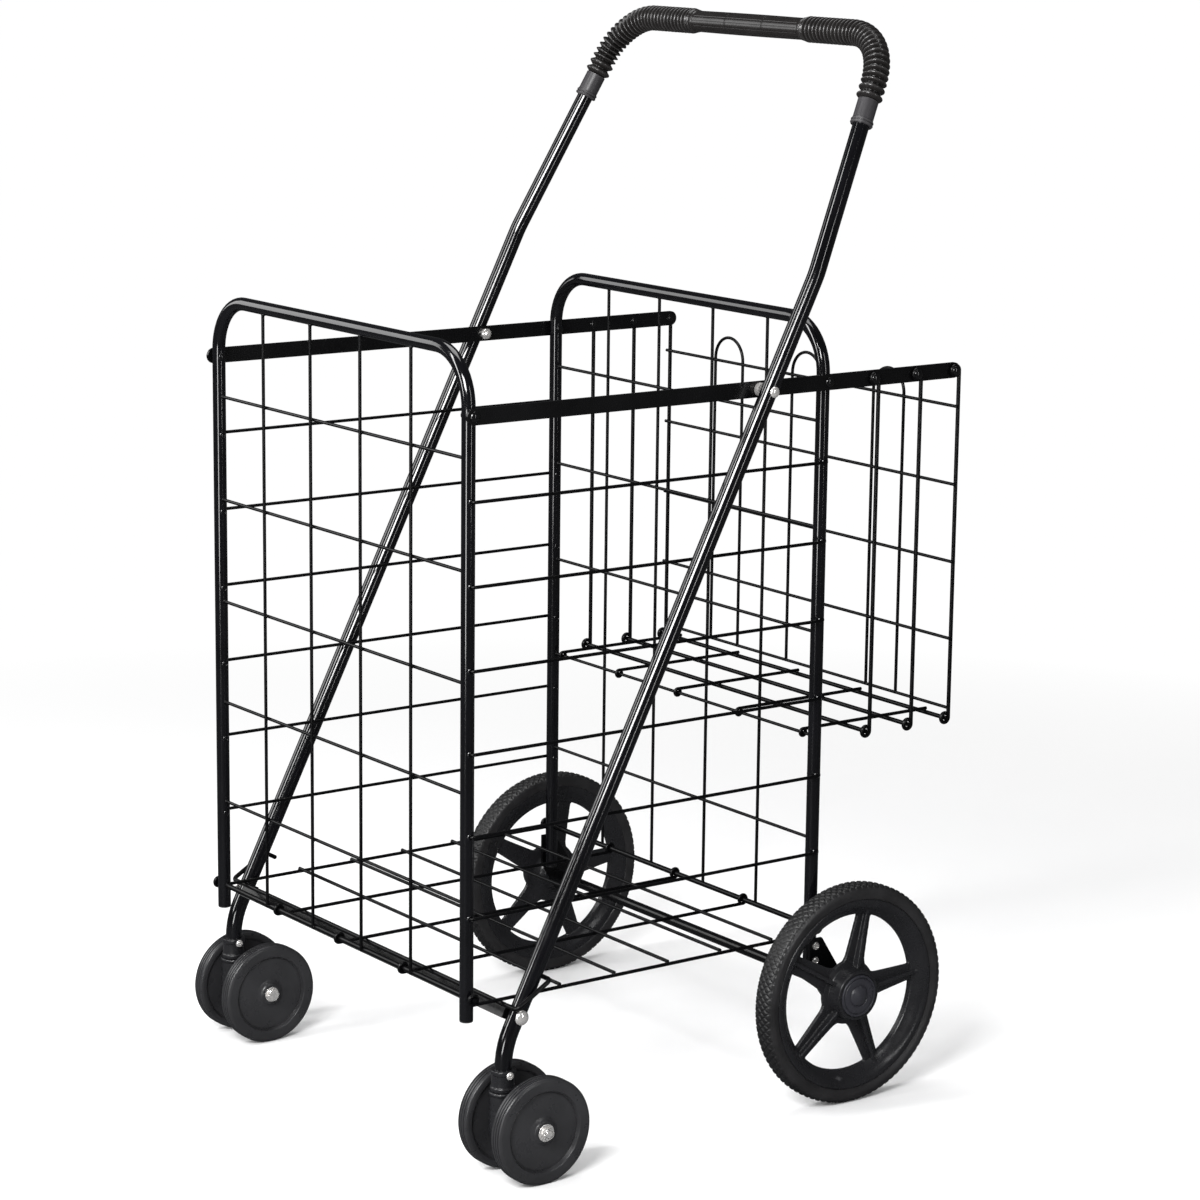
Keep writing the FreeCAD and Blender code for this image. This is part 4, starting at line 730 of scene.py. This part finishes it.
def rear_wheels():
    """Tyre, rim and hub cap of both wheels. The two rims have a spoke at the same angle."""
    tyre = mesh_of("rear_tyre", tyre_part(), 55.0)
    rim = rim_mesh()
    cap = mesh_of("hub_cap", cap_part(), 30.0)
    cap.materials.append(moulded("cap_nylon", (0.017, 0.017, 0.021), 0.3, 0.000002))
    for name, side in SIDES.items():
        axle = middle(f"rear_tyre_{name}")
        place = facing(side, inner_x(f"rear_tyre_{name}"), axle.y, axle.z)
        body = f"rear_wheel_{name}"
        piece(f"treaded_tyre_{name}", tyre, body, "tyre_black", place, (f"rear_tyre_{name}",))
        leaning = Matrix.Translation(place.translation) @ Matrix.Rotation(-SPOKE_LEAN, 4, "X")
        leaning = leaning @ place.to_3x3().to_4x4()
        piece(f"spoked_rim_{name}", rim, body, "plastic_black", leaning, (f"rear_rim_{name}",))
        piece(f"stepped_cap_{name}", cap, body, "plastic_black", place, (f"hub_cap_{name}",))


# ---------- casters ----------

CASTER_LOW, CASTER_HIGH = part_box("caster_wheel_left_outer")
CASTER_RADIUS = (CASTER_HIGH.z - CASTER_LOW.z) / 2 / MM
CASTER_WIDTH = (CASTER_HIGH.x - CASTER_LOW.x) / MM
TREAD_LINES = 3
TREAD_SPACING = 3.5
LINE_DEPTH = 1.4
DISC_SINK = 3.2


def caster_wheel_part():
    """A solid wheel: ribbed tread, rounded shoulder, raised rim band, sunk disc and a boss."""
    width = CASTER_WIDTH
    radius = CASTER_RADIUS
    corners = [
        (width - 1.4, 4.3), (width - 0.2, 4.3, 0.3), (width - 0.2, 10.2, 0.7), (width - 1.6, 11.4, 0.7),
        (width - DISC_SINK, 14.6, 1.2), (width - DISC_SINK, 36.2, 0.4), (width - DISC_SINK - 0.5, 36.6, 0.2),
        (width - DISC_SINK - 0.5, 37.2, 0.2), (width - 0.3, 38.6, 0.4), (width, 39.4, 0.5),
        (width, radius - 2.8, 1.0), (width - 1.3, radius - 0.5, 0.7),
    ]
    for k in range(TREAD_LINES):
        edge = width - 2.6 - TREAD_SPACING * k
        corners += [(edge, radius, 0.2), (edge - 0.4, radius - LINE_DEPTH, 0.2),
                    (edge - 1.2, radius - LINE_DEPTH, 0.2), (edge - 1.6, radius, 0.2)]
    corners += [
        (1.2, radius - 0.3, 0.9), (0.0, radius - 2.6, 1.2), (0.0, 44.0, 0.8), (2.6, 42.0, 1.0),
        (3.2, 14.0, 1.5), (0.6, 12.0, 0.8), (0.2, 11.0, 0.4), (0.2, 4.3),
    ]
    return turned(corners, 144, 4, closed=True)


def fork_mesh():
    """The swivelling fork: a lipped boss that runs down into a hub block, joined by two plain blocks."""
    boss_top = (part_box("caster_sockets")[0].z - middle("caster_axle_left").z) / MM - 0.4
    stem = (JOINTS["caster_swivel_left"]["pos_m"][1] - middle("caster_axle_left").y) / MM
    upright = Matrix.Rotation(-math.pi / 2, 4, "Y")
    boss = moved(turned([
        (-8.0, 0.0), (-8.0, 12.6, 2.5), (15.0, 13.0, 0.8), (16.5, 12.4, 0.8), (boss_top - 3.6, 12.2, 0.6),
        (boss_top - 3.0, 13.4, 0.5), (boss_top - 0.8, 13.4, 0.8), (boss_top, 12.2, 0.6), (boss_top, 0.0),
    ], 64), shift(0, stem) @ upright)
    hub = turned([(-17.0, 0.0), (-17.0, 13.6, 1.2), (-15.5, 15.0, 1.0), (15.5, 15.0, 1.0),
                  (17.0, 13.6, 1.2), (17.0, 0.0)], 64)
    cheek = joined(box_block(-11, 11, stem - 4, 3, -14, 14), box_block(-9, 9, stem, 2, 10, 22))
    return fused(mesh_of("fork_solids", joined(boss, hub, cheek)), 0.6, 2)


def box_block(x0, x1, y0, y1, z0, z1):
    """A plain block, only ever a solid inside a fused skin."""
    corners = [Vector((x, y, z)) for x in (x0, x1) for y in (y0, y1) for z in (z0, z1)]
    faces = [(0, 1, 3, 2), (4, 6, 7, 5), (0, 4, 5, 1), (2, 3, 7, 6), (0, 2, 6, 4), (1, 5, 7, 3)]
    return corners, faces


HEXAGON_POINTS = 48


def hexagon_part(low, high, flats, bore=0.0):
    """A hexagon along X with turned chamfers on both faces."""
    corner = flats / math.sqrt(3)
    rows = []
    for along, reach in ((low, flats / 2 * 0.96), (low + 0.16 * (high - low), corner),
                         (high - 0.22 * (high - low), corner), (high, flats / 2 * 0.96)):
        row = []
        for a in angles(HEXAGON_POINTS):
            sector = (a + math.pi / 6) % (math.pi / 3) - math.pi / 6
            radius = min(reach, flats / 2 / math.cos(sector))
            row.append(Vector((along, radius * math.sin(a), radius * math.cos(a))))
        rows.append(row)
    caps = [Vector((low, bore * math.sin(a), bore * math.cos(a))) for a in angles(HEXAGON_POINTS)]
    tops = [Vector((high, v.y, v.z)) for v in caps]
    return grid([caps] + rows + [tops])


def threaded_end(low, high, radius, pitch=1.0):
    """A bolt's end: turned thread crests and a chamfered tip."""
    corners = [(low, radius)]
    along = low
    while along + pitch < high - 0.8:
        corners += [(along + pitch * 0.5, radius - 0.45), (along + pitch, radius)]
        along += pitch
    corners += [(high - 0.7, radius - 0.1), (high, radius - 0.8), (high, 0.0)]
    return turned(corners, 40)


def socket_part():
    """The collar pressed on the tube's end: two lips with a plain band between them."""
    length = (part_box("caster_sockets")[1].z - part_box("caster_sockets")[0].z) / MM
    upright = Matrix.Rotation(-math.pi / 2, 4, "Y")
    return moved(turned([
        (0.0, 4.4), (0.0, 11.8, 0.6), (3.4, 12.0, 0.7), (4.2, 10.9, 0.5), (length - 5.0, 10.7, 0.6),
        (length - 4.2, 11.7, 0.6), (length - 0.6, 11.7, 0.9), (length, 10.6, 0.6),
        (length, HANDLE_RADIUS - 0.05),
    ], 72), upright)


def pan_head(low, radius, height):
    """A domed screw head with a cross recess."""
    rows = []
    for k in range(11):
        t = k / 10
        along = low + height * math.sin(t * math.pi / 2)
        reach = radius * math.cos(t * math.pi / 2) ** 0.75
        row = []
        for a in angles(64):
            y, z = reach * math.sin(a), reach * math.cos(a)
            slot = min(abs(y), abs(z)) < 0.42 and max(abs(y), abs(z)) < radius * 0.55
            row.append(Vector((along - (0.55 if slot else 0.0), y, z)))
        rows.append(row)
    skirt = [Vector((low - 0.4, v.y, v.z)) for v in rows[0]]
    return grid([skirt] + rows)


def casters():
    """Two swivelling forks, each with a wheel on either side of it."""
    wheel = mesh_of("caster_wheel", caster_wheel_part(), 42.0)
    wheel.materials.append(moulded("caster_nylon", (0.0158, 0.0158, 0.017), 0.3, 0.000003))
    fork = fork_mesh()
    for name, side in SIDES.items():
        axle = middle(f"caster_axle_{name}")
        fork_x = abs(JOINTS[f"caster_swivel_{name}"]["pos_m"][0])
        upright = shift(side * fork_x, axle.y, axle.z)
        node = f"caster_fork_{name}"
        piece(f"swivel_fork_{name}", fork, f"caster_{name}", "plastic_black", upright, (node,))
        for where, outward in (("outer", 1), ("inner", -1)):
            node = f"caster_wheel_{name}_{where}"
            face = inner_x(node) if outward > 0 else outer_x(node)
            place = facing(side * outward, outward * face, axle.y, axle.z)
            piece(f"twin_wheel_{name}_{where}", wheel, node, "plastic_black", place, (node,))
        caster_bolt(name, fork_x, facing(side, fork_x, axle.y, axle.z))


def caster_bolt(name, fork_x, hub):
    """One caster's axle bolt with its washer, and the flanged nut on the outer side."""
    nut_node, bolt_node = f"caster_nut_{name}", f"caster_axle_{name}"
    reach = (outer_x(nut_node) - fork_x) / MM
    flange = [(reach - 5.2, 4.1), (reach - 5.2, 8.3, 0.3), (reach - 3.9, 8.3, 0.4), (reach - 3.9, 4.1)]
    nut = joined(turned(flange, 64), hexagon_part(reach - 3.9, reach + 0.6, 10.6, 4.05))
    nut_name = f"axle_nut_{name}"
    piece(nut_name, mesh_of(nut_name, nut, 30.0), f"caster_{name}", "zinc", hub, (nut_node,))
    tip = (outer_x(bolt_node) - fork_x) / MM
    head = (inner_x(bolt_node) - fork_x) / MM
    washer = [(head + 3.4, 0.0), (head + 3.4, 7.6, 0.3), (head + 4.4, 7.6, 0.3), (head + 4.4, 0.0)]
    bolt = joined(
        turned([(head + 3.5, 0.0), (head + 3.5, 4.0), (tip - 6.0, 4.0), (tip - 6.0, 0.0)], 40),
        threaded_end(tip - 6.0, tip, 4.0),
        hexagon_part(head, head + 4.0, 12.0),
        turned(washer, 48),
    )
    bolt_name = f"axle_bolt_{name}"
    piece(bolt_name, mesh_of(bolt_name, bolt, 30.0), f"caster_{name}", "zinc", hub, (bolt_node,))


def stem_collars():
    """The collars that hold the casters' stems on the handle's tubes, and their screws."""
    collars, screws = [], []
    screw_z = middle("socket_screws").z / MM
    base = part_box("caster_sockets")[0].z / MM
    y = joint_at("caster_swivel_left").y
    for side in SIDES.values():
        x = side * HANDLE_HALF
        collars.append(moved(socket_part(), shift(x, y, base)))
        screws.append(moved(pan_head(11.4, 3.7, 2.1), shift(x, y, screw_z)))
    assembly("stem_collars", collars, 30.0, "handle", "plastic_black", ("caster_sockets",))
    assembly("collar_screws", screws, 50.0, "handle", "zinc", ("socket_screws",))


# ---------- bolts, nuts, rivets and plugs ----------

def dome_head(low, radius, height):
    """A polished round head on a thin flange."""
    return turned([
        (low - 0.6, 0.0), (low - 0.6, radius * 0.86), (low, radius, 0.25), (low + height * 0.2, radius, 0.4),
        (low + height * 0.62, radius * 0.82, height * 0.3),
        (low + height * 0.95, radius * 0.42, radius * 0.2), (low + height, 0.0),
    ], 64, 6)


def handle_bolts():
    """The round-headed bolts through the brace and the pivots, and their nuts."""
    for label, radius, height, nut_flats in (("brace", 7.0, 4.6, 10.0), ("pivot", 5.2, 3.2, 10.0)):
        bolts, nuts = f"{label}_bolts", f"{label}_nuts"
        centre = middle(bolts)
        reach = outer_x(bolts) / MM
        nut_face = outer_x(nuts) / MM
        heads, hexes = [], []
        for side in SIDES.values():
            place = shift(0, centre.y / MM, centre.z / MM) @ half_turn(side)
            heads.append(moved(joined(
                dome_head(reach - height, radius, height),
                turned([(nut_face - 1.0, 0.0), (nut_face - 1.0, 3.0), (reach - height, 3.0),
                        (reach - height, 0.0)], 32),
                moved(threaded_end(-(nut_face - 2.0), -(nut_face - 6.5), 3.0), half_turn(-1)),
            ), place))
            hexes.append(moved(hexagon_part(nut_face - 4.5, nut_face, nut_flats, 3.05), place))
        assembly(f"{label}_bolt_set", heads, 30.0, "handle", "zinc", (bolts,))
        assembly(f"{label}_nut_set", hexes, 30.0, "handle", "zinc", (nuts,))


PIVOT_TAIL = 211.1
BASKET_TAIL = 224.9
BASKET_HINGES = ("basket_rods_front_hinge", "basket_rods_middle_hinge", "basket_back_hinge")


def rivet_head(low, radius, height):
    """A low round head, seen above the metal it is set in."""
    return turned([
        (low - 0.4, 0.0), (low - 0.4, radius * 0.9), (low + 0.3, radius, 0.3),
        (low + height * 0.55, radius * 0.8, 0.9), (low + height * 0.95, radius * 0.4, 1.2),
        (low + height, 0.0),
    ], 40, 5)


def rivet_sets():
    """Round-headed rivets through the side bars, with their upset tails."""
    bar = outer_x("side_bar_left") / MM
    rod = outer_x("basket_rods_1") / MM
    for node, body, joints, tail, head in (
        ("rear_pivot_rivets", "rear_frame", ("fold",), PIVOT_TAIL, bar + 0.2),
        ("front_pivot_rivets", "front_frame", ("front_frame_hinge",), PIVOT_TAIL, bar + 0.2),
        ("basket_rivets", "side_bars", BASKET_HINGES, BASKET_TAIL, rod + 0.2),
    ):
        parts = []
        for joint in joints:
            at = joint_at(joint)
            for side in SIDES.values():
                place = shift(0, at.y, at.z) @ half_turn(side)
                parts.append(moved(rivet_head(head, 5.0, 2.5), place))
                parts.append(moved(turned([(tail, 0.0), (tail, 2.45), (head, 2.45), (head, 0.0)], 24), place))
                parts.append(moved(moved(rivet_head(-tail, 4.0, 1.5), half_turn(-1)), place))
        assembly(f"{node}_headed", parts, 30.0, body, "rivet_black", (node,))


def tubular_rivet(low, radius, height):
    """A rivet's rolled end: a ring round a hollow."""
    return turned([
        (low - 0.5, 0.0), (low - 0.5, radius * 0.9), (low, radius, 0.3),
        (low + height * 0.6, radius * 0.95, 0.5), (low + height, radius * 0.72, 0.4),
        (low + height * 0.75, radius * 0.5, 0.3), (low, radius * 0.42, 0.3), (low, 0.0),
    ], 40, 4)


def bracket_rivet_set():
    """The tubular rivets that hold the axle brackets on the rear tubes."""
    node = "bracket_rivets"
    low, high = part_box(node)
    radius = (high.y - low.y) / 2 / MM
    height = 1.7
    outer = outer_x(node) / MM
    parts = []
    for side in SIDES.values():
        for z in (low.z / MM + radius, high.z / MM - radius):
            place = shift(0, middle(node).y / MM, z) @ half_turn(side)
            parts.append(moved(tubular_rivet(outer - height, radius, height), place))
    assembly("bracket_rivet_heads", parts, 30.0, "rear_frame", "zinc", (node,))


def plug_set():
    """Domed plastic plugs pressed into the panel tubes' open ends."""
    for name in ("rear", "front"):
        node = f"{name}_tube_plugs"
        x = outer_x(node) / MM - TUBE_RADIUS
        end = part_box(node)[0].z / MM + 1.9
        down = Matrix.Rotation(math.pi / 2, 4, "Y")
        plug = turned([(-9.0, 0.0), (-9.0, 5.2, 0.5), (0.0, 5.3), (0.05, 6.3, 0.3), (1.2, 6.25, 0.6),
                       (1.8, 4.6, 0.8), (1.9, 0.0)], 48)
        parts = [moved(plug, shift(side * x, middle(node).y / MM, end) @ down) for side in SIDES.values()]
        assembly(f"{name}_foot_plugs", parts, 35.0, f"{name}_frame", "plug_black", (node,))


def axle_ends():
    """Push-on axle caps: sprung steel washers with a rolled lip."""
    parts = []
    axle = middle("rear_axle")
    face = outer_x("axle_push_nuts") / MM
    for side in SIDES.values():
        place = shift(0, axle.y / MM, axle.z / MM) @ half_turn(side)
        parts.append(moved(turned([(face - 1.8, 5.05), (face - 1.8, 8.5, 0.3), (face - 1.0, 8.5, 0.3),
                                   (face - 0.4, 6.4, 0.6), (face, 5.05)], 48, 4, closed=True), place))
    assembly("sprung_axle_nuts", parts, 30.0, "rear_frame", "zinc", ("axle_push_nuts",))


# ---------- welds ----------

TUBE_HALF = 217.65
TUBE_RADIUS = 6.35
PANEL_WIRES_X = (-129.0, -43.5, 43.5, 129.0)
PANEL_TOP = 665.0
PANEL_PITCH = 101.6
SIDE_PITCH = 76.2
SIDE_WIRES = 6
FLOOR_WIRES_X = (-229.1, -112.0, 0.0, 112.0, 229.1)
FLOOR_FIRST_WIRE = 95.0
FLOOR_PITCH = 62.0
BASKET_WIRES_X = (-200.0, -100.0, 0.0, 100.0, 200.0)
BASKET_ROD_X = 230.6
BACK_PANEL_TOP = 668.6
LOOPS_X = (-128.0, 0.0, 128.0)
LOOP_HALF = 23.0


def bead(centre, size, seed):
    """A small blob of weld metal, uneven like a real one. size is its three half widths."""
    rings, around = 6, 10
    rows = []
    for r in range(rings + 1):
        lift = math.pi * r / rings
        row = []
        for a in angles(around):
            way = Vector((math.sin(lift) * math.cos(a), math.sin(lift) * math.sin(a), math.cos(lift)))
            swell = 1.0 + 0.22 * noise.noise(way * 1.6 + Vector((seed * 3.7, seed * 1.3, 0.0)))
            row.append(Vector(centre) + Vector((way.x * size[0], way.y * size[1], way.z * size[2])) * swell)
        rows.append(row)
    return grid(rows)


def panel_welds(name, outward):
    """Beads where a panel's wires cross, and where they meet the tubes."""
    y = middle(f"{name}_tube").y / MM
    rod_z = middle(f"{name}_hinge_rod").z / MM
    beads = []
    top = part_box(f"{name}_tube")[1].z / MM - 2 * TUBE_RADIUS
    for row in range(5):
        z = PANEL_TOP - row * PANEL_PITCH
        for x in PANEL_WIRES_X:
            beads.append(bead((x, y + outward * 1.4, z), (2.0, 1.5, 2.0), len(beads)))
        for x in (-TUBE_HALF + TUBE_RADIUS, TUBE_HALF - TUBE_RADIUS):
            beads.append(bead((x * 0.9985, y, z), (1.5, 2.3, 2.3), len(beads)))
    for x in PANEL_WIRES_X:
        beads.append(bead((x, y + outward * 2.0, rod_z), (2.2, 2.0, 2.4), len(beads)))
        beads.append(bead((x, y + outward * 2.2, top + 0.6), (2.3, 2.3, 1.6), len(beads)))
    assembly(f"{name}_panel_welds", beads, 80.0, f"{name}_frame", "wire_black")


def wire_sockets(name):
    """The pinched rims of the holes that take the side wires' ends."""
    y = middle(f"{name}_tube").y / MM
    bar = joint_at("fold").z
    outer_rim = [(5.0, 1.95), (6.6, 2.0, 0.2), (7.0, 2.7, 0.4), (6.2, 3.6, 0.5), (5.0, 4.2)]
    inner_rim = [(-4.8, 4.2), (-6.3, 3.3, 0.4), (-6.9, 2.4, 0.3), (-6.7, 1.9, 0.2), (-4.8, 1.9)]
    parts = []
    for number in range(1, SIDE_WIRES + 1):
        for side in SIDES.values():
            hole = shift(side * TUBE_HALF, y, bar - number * SIDE_PITCH) @ half_turn(side)
            for rim in (outer_rim, inner_rim):
                parts.append(moved(turned(rim, 32, 4, closed=True), hole))
    assembly(f"{name}_wire_sockets", parts, 60.0, f"{name}_frame", "tube_black")


def floor_welds():
    """Beads where the main floor's wires cross."""
    first = middle("front_tube").y / MM + FLOOR_FIRST_WIRE
    z = joint_at("floor_hinge").z - 4.4
    beads = []
    for k in range(5):
        y = first + FLOOR_PITCH * k
        for x in FLOOR_WIRES_X:
            beads.append(bead((x, y, z + 1.4), (2.0, 2.1, 1.6), len(beads)))
    assembly("floor_welds", beads, 80.0, "main_floor", "wire_black")


def basket_welds():
    """Beads on the rear basket's floor and on its back panel."""
    beads = []
    for joint in BASKET_HINGES:
        y = joint_at(joint).y
        z = joint_at("basket_floor_hinge").z
        for x in BASKET_WIRES_X:
            beads.append(bead((x, y, z + 1.7), (2.2, 2.2, 1.8), len(beads)))
    assembly("basket_floor_welds", beads, 80.0, "basket_floor", "wire_black")
    line = joint_at("basket_back_hinge").y + 4.6
    beads = []
    for row in range(4):
        z = BACK_PANEL_TOP - SIDE_PITCH * row
        for middle_x in LOOPS_X:
            for x in (middle_x - LOOP_HALF, middle_x + LOOP_HALF):
                beads.append(bead((x, line - 1.45, z), (1.9, 1.4, 1.9), len(beads)))
        for x in (-BASKET_ROD_X, BASKET_ROD_X):
            beads.append(bead((x, line - 1.6, z), (2.1, 1.5, 2.0), len(beads)))
    assembly("basket_back_welds", beads, 80.0, "basket_back", "wire_black")


# ---------- stage, light and camera ----------

def stage():
    """A pale floor that fades to white away from the trolley, painted near black, with its glow dimmed, where
    glossy rays see it.
    """
    low, high = CAD_BOX
    span = (high - low).length
    floor_mesh = bpy.data.meshes.new("studio_floor")
    reach = 34 * span
    corners = [(-reach, -reach, 0), (reach, -reach, 0), (reach, reach, 0), (-reach, reach, 0)]
    floor_mesh.from_pydata(corners, [], [(0, 1, 2, 3)])
    floor = bpy.data.objects.new("studio_floor", floor_mesh)
    bpy.context.scene.collection.objects.link(floor)
    graph = Graph("studio_floor_paint")
    shade = graph.spread(graph.noise(1.7, 4.0), 0.3, 0.7, 0.0, 1.0)
    paint = graph.mix(shade, (0.90, 0.90, 0.905), (0.93, 0.93, 0.93))
    # Painted dark reflection: glossy rays see the floor near black, so shiny parts do not mirror its white.
    mirrored = graph.node("ShaderNodeLightPath").outputs["Is Glossy Ray"]
    seen = graph.mix(mirrored, paint, (0.05, 0.052, 0.055))
    away = graph.node("ShaderNodeVectorMath", {0: graph.place}, operation="LENGTH").outputs["Value"]
    far = graph.spread(away, 0.42 * span, 1.5 * span, 0.0, 1.0)
    graph.set(Base_Color=graph.mix(far, seen, (0.0, 0.0, 0.0)), Roughness=0.7, Specular_IOR_Level=0.1)
    glow = graph.math("MULTIPLY", far, graph.math("SUBTRACT", 1.0, graph.math("MULTIPLY", mirrored, 0.95)))
    graph.set(Emission_Color=(1.0, 1.0, 1.0), Emission_Strength=glow)
    floor_mesh.materials.append(graph.material)


def softbox(name, where, target, width, height, power):
    lamp = bpy.data.lights.new(name, "AREA")
    lamp.shape = "RECTANGLE"
    lamp.size = width
    lamp.size_y = height
    lamp.energy = power
    holder = bpy.data.objects.new(name, lamp)
    bpy.context.scene.collection.objects.link(holder)
    holder.location = where
    holder.rotation_euler = (Vector(target) - Vector(where)).to_track_quat("-Z", "Y").to_euler()
    return holder


def studio():
    """A white surround for the eye and the floor, kept dim in reflections, and six softboxes."""
    world = bpy.data.worlds.new("studio")
    bpy.context.scene.world = world
    world.use_nodes = True
    nodes, links = world.node_tree.nodes, world.node_tree.links
    nodes.clear()
    out = nodes.new("ShaderNodeOutputWorld")
    path = nodes.new("ShaderNodeLightPath")
    shades = []
    for colour, strength in (((1, 1, 1, 1), 0.42), ((0.95, 0.97, 1.0, 1), 0.045), ((1, 1, 1, 1), 1.0)):
        shade = nodes.new("ShaderNodeBackground")
        shade.inputs[0].default_value = colour
        shade.inputs[1].default_value = strength
        shades.append(shade.outputs[0])
    current = shades[0]
    for ray, shade in (("Is Glossy Ray", shades[1]), ("Is Camera Ray", shades[2])):
        mixer = nodes.new("ShaderNodeMixShader")
        links.new(path.outputs[ray], mixer.inputs[0])
        links.new(current, mixer.inputs[1])
        links.new(shade, mixer.inputs[2])
        current = mixer.outputs[0]
    links.new(current, out.inputs[0])
    target = (CAD_BOX[0] + CAD_BOX[1]) / 2
    left = -RIGHT
    near = Vector((-AHEAD.x, -AHEAD.y, 0)).normalized()
    softbox("front", target + Vector((1.25, -1.75, 1.15)), target, 0.8, 0.8, 62)
    softbox("key", target + left * 1.9 + near * 0.9 + Vector((0, 0, 1.1)), target, 0.3, 2.2, 34)
    softbox("rim", target + Vector((-2.2, -1.5, 0.9)), target, 1.3, 1.5, 17)
    softbox("edge", target - left * 1.6 + near * 1.7 + Vector((0, 0, 0.5)), target, 0.12, 1.7, 8)
    softbox("top", target + Vector((0, 0, 2.2)) - near * 0.3, target, 1.4, 1.4, 24)
    softbox("low", target + Vector((1.0, -2.1, -0.25)), target, 0.45, 0.45, 7)


YAW = 0.94252
PITCH = -0.20605
ROLL = 0.01157
AHEAD = Vector((-math.sin(YAW) * math.cos(PITCH), math.cos(YAW) * math.cos(PITCH), math.sin(PITCH)))
RIGHT = Vector((math.cos(YAW), math.sin(YAW), 0.0))
EYE = Vector((2.79968, -2.00837, 1.18950))
FOCAL_IN_FRAMES = 3589.74 / 1200


def camera():
    above = RIGHT.cross(AHEAD)
    right = RIGHT * math.cos(ROLL) + above * math.sin(ROLL)
    up = above * math.cos(ROLL) - RIGHT * math.sin(ROLL)
    lens = bpy.data.cameras.new("camera")
    lens.sensor_width = 36.0
    lens.lens = 36.0 * FOCAL_IN_FRAMES
    holder = bpy.data.objects.new("camera", lens)
    bpy.context.scene.collection.objects.link(holder)
    turn = Matrix((right, up, -AHEAD)).transposed().to_4x4()
    holder.matrix_world = Matrix.Translation(EYE) @ turn
    bpy.context.scene.camera = holder
    bpy.context.scene.view_settings.view_transform = "Standard"


finish_cad_nodes()
corner_grips()
centre_grip()
rear_wheels()
casters()
stem_collars()
handle_bolts()
rivet_sets()
bracket_rivet_set()
plug_set()
axle_ends()
for panel, outward in (("rear", 1), ("front", -1)):
    panel_welds(panel, outward)
    wire_sockets(panel)
floor_welds()
basket_welds()
camera()
stage()
studio()
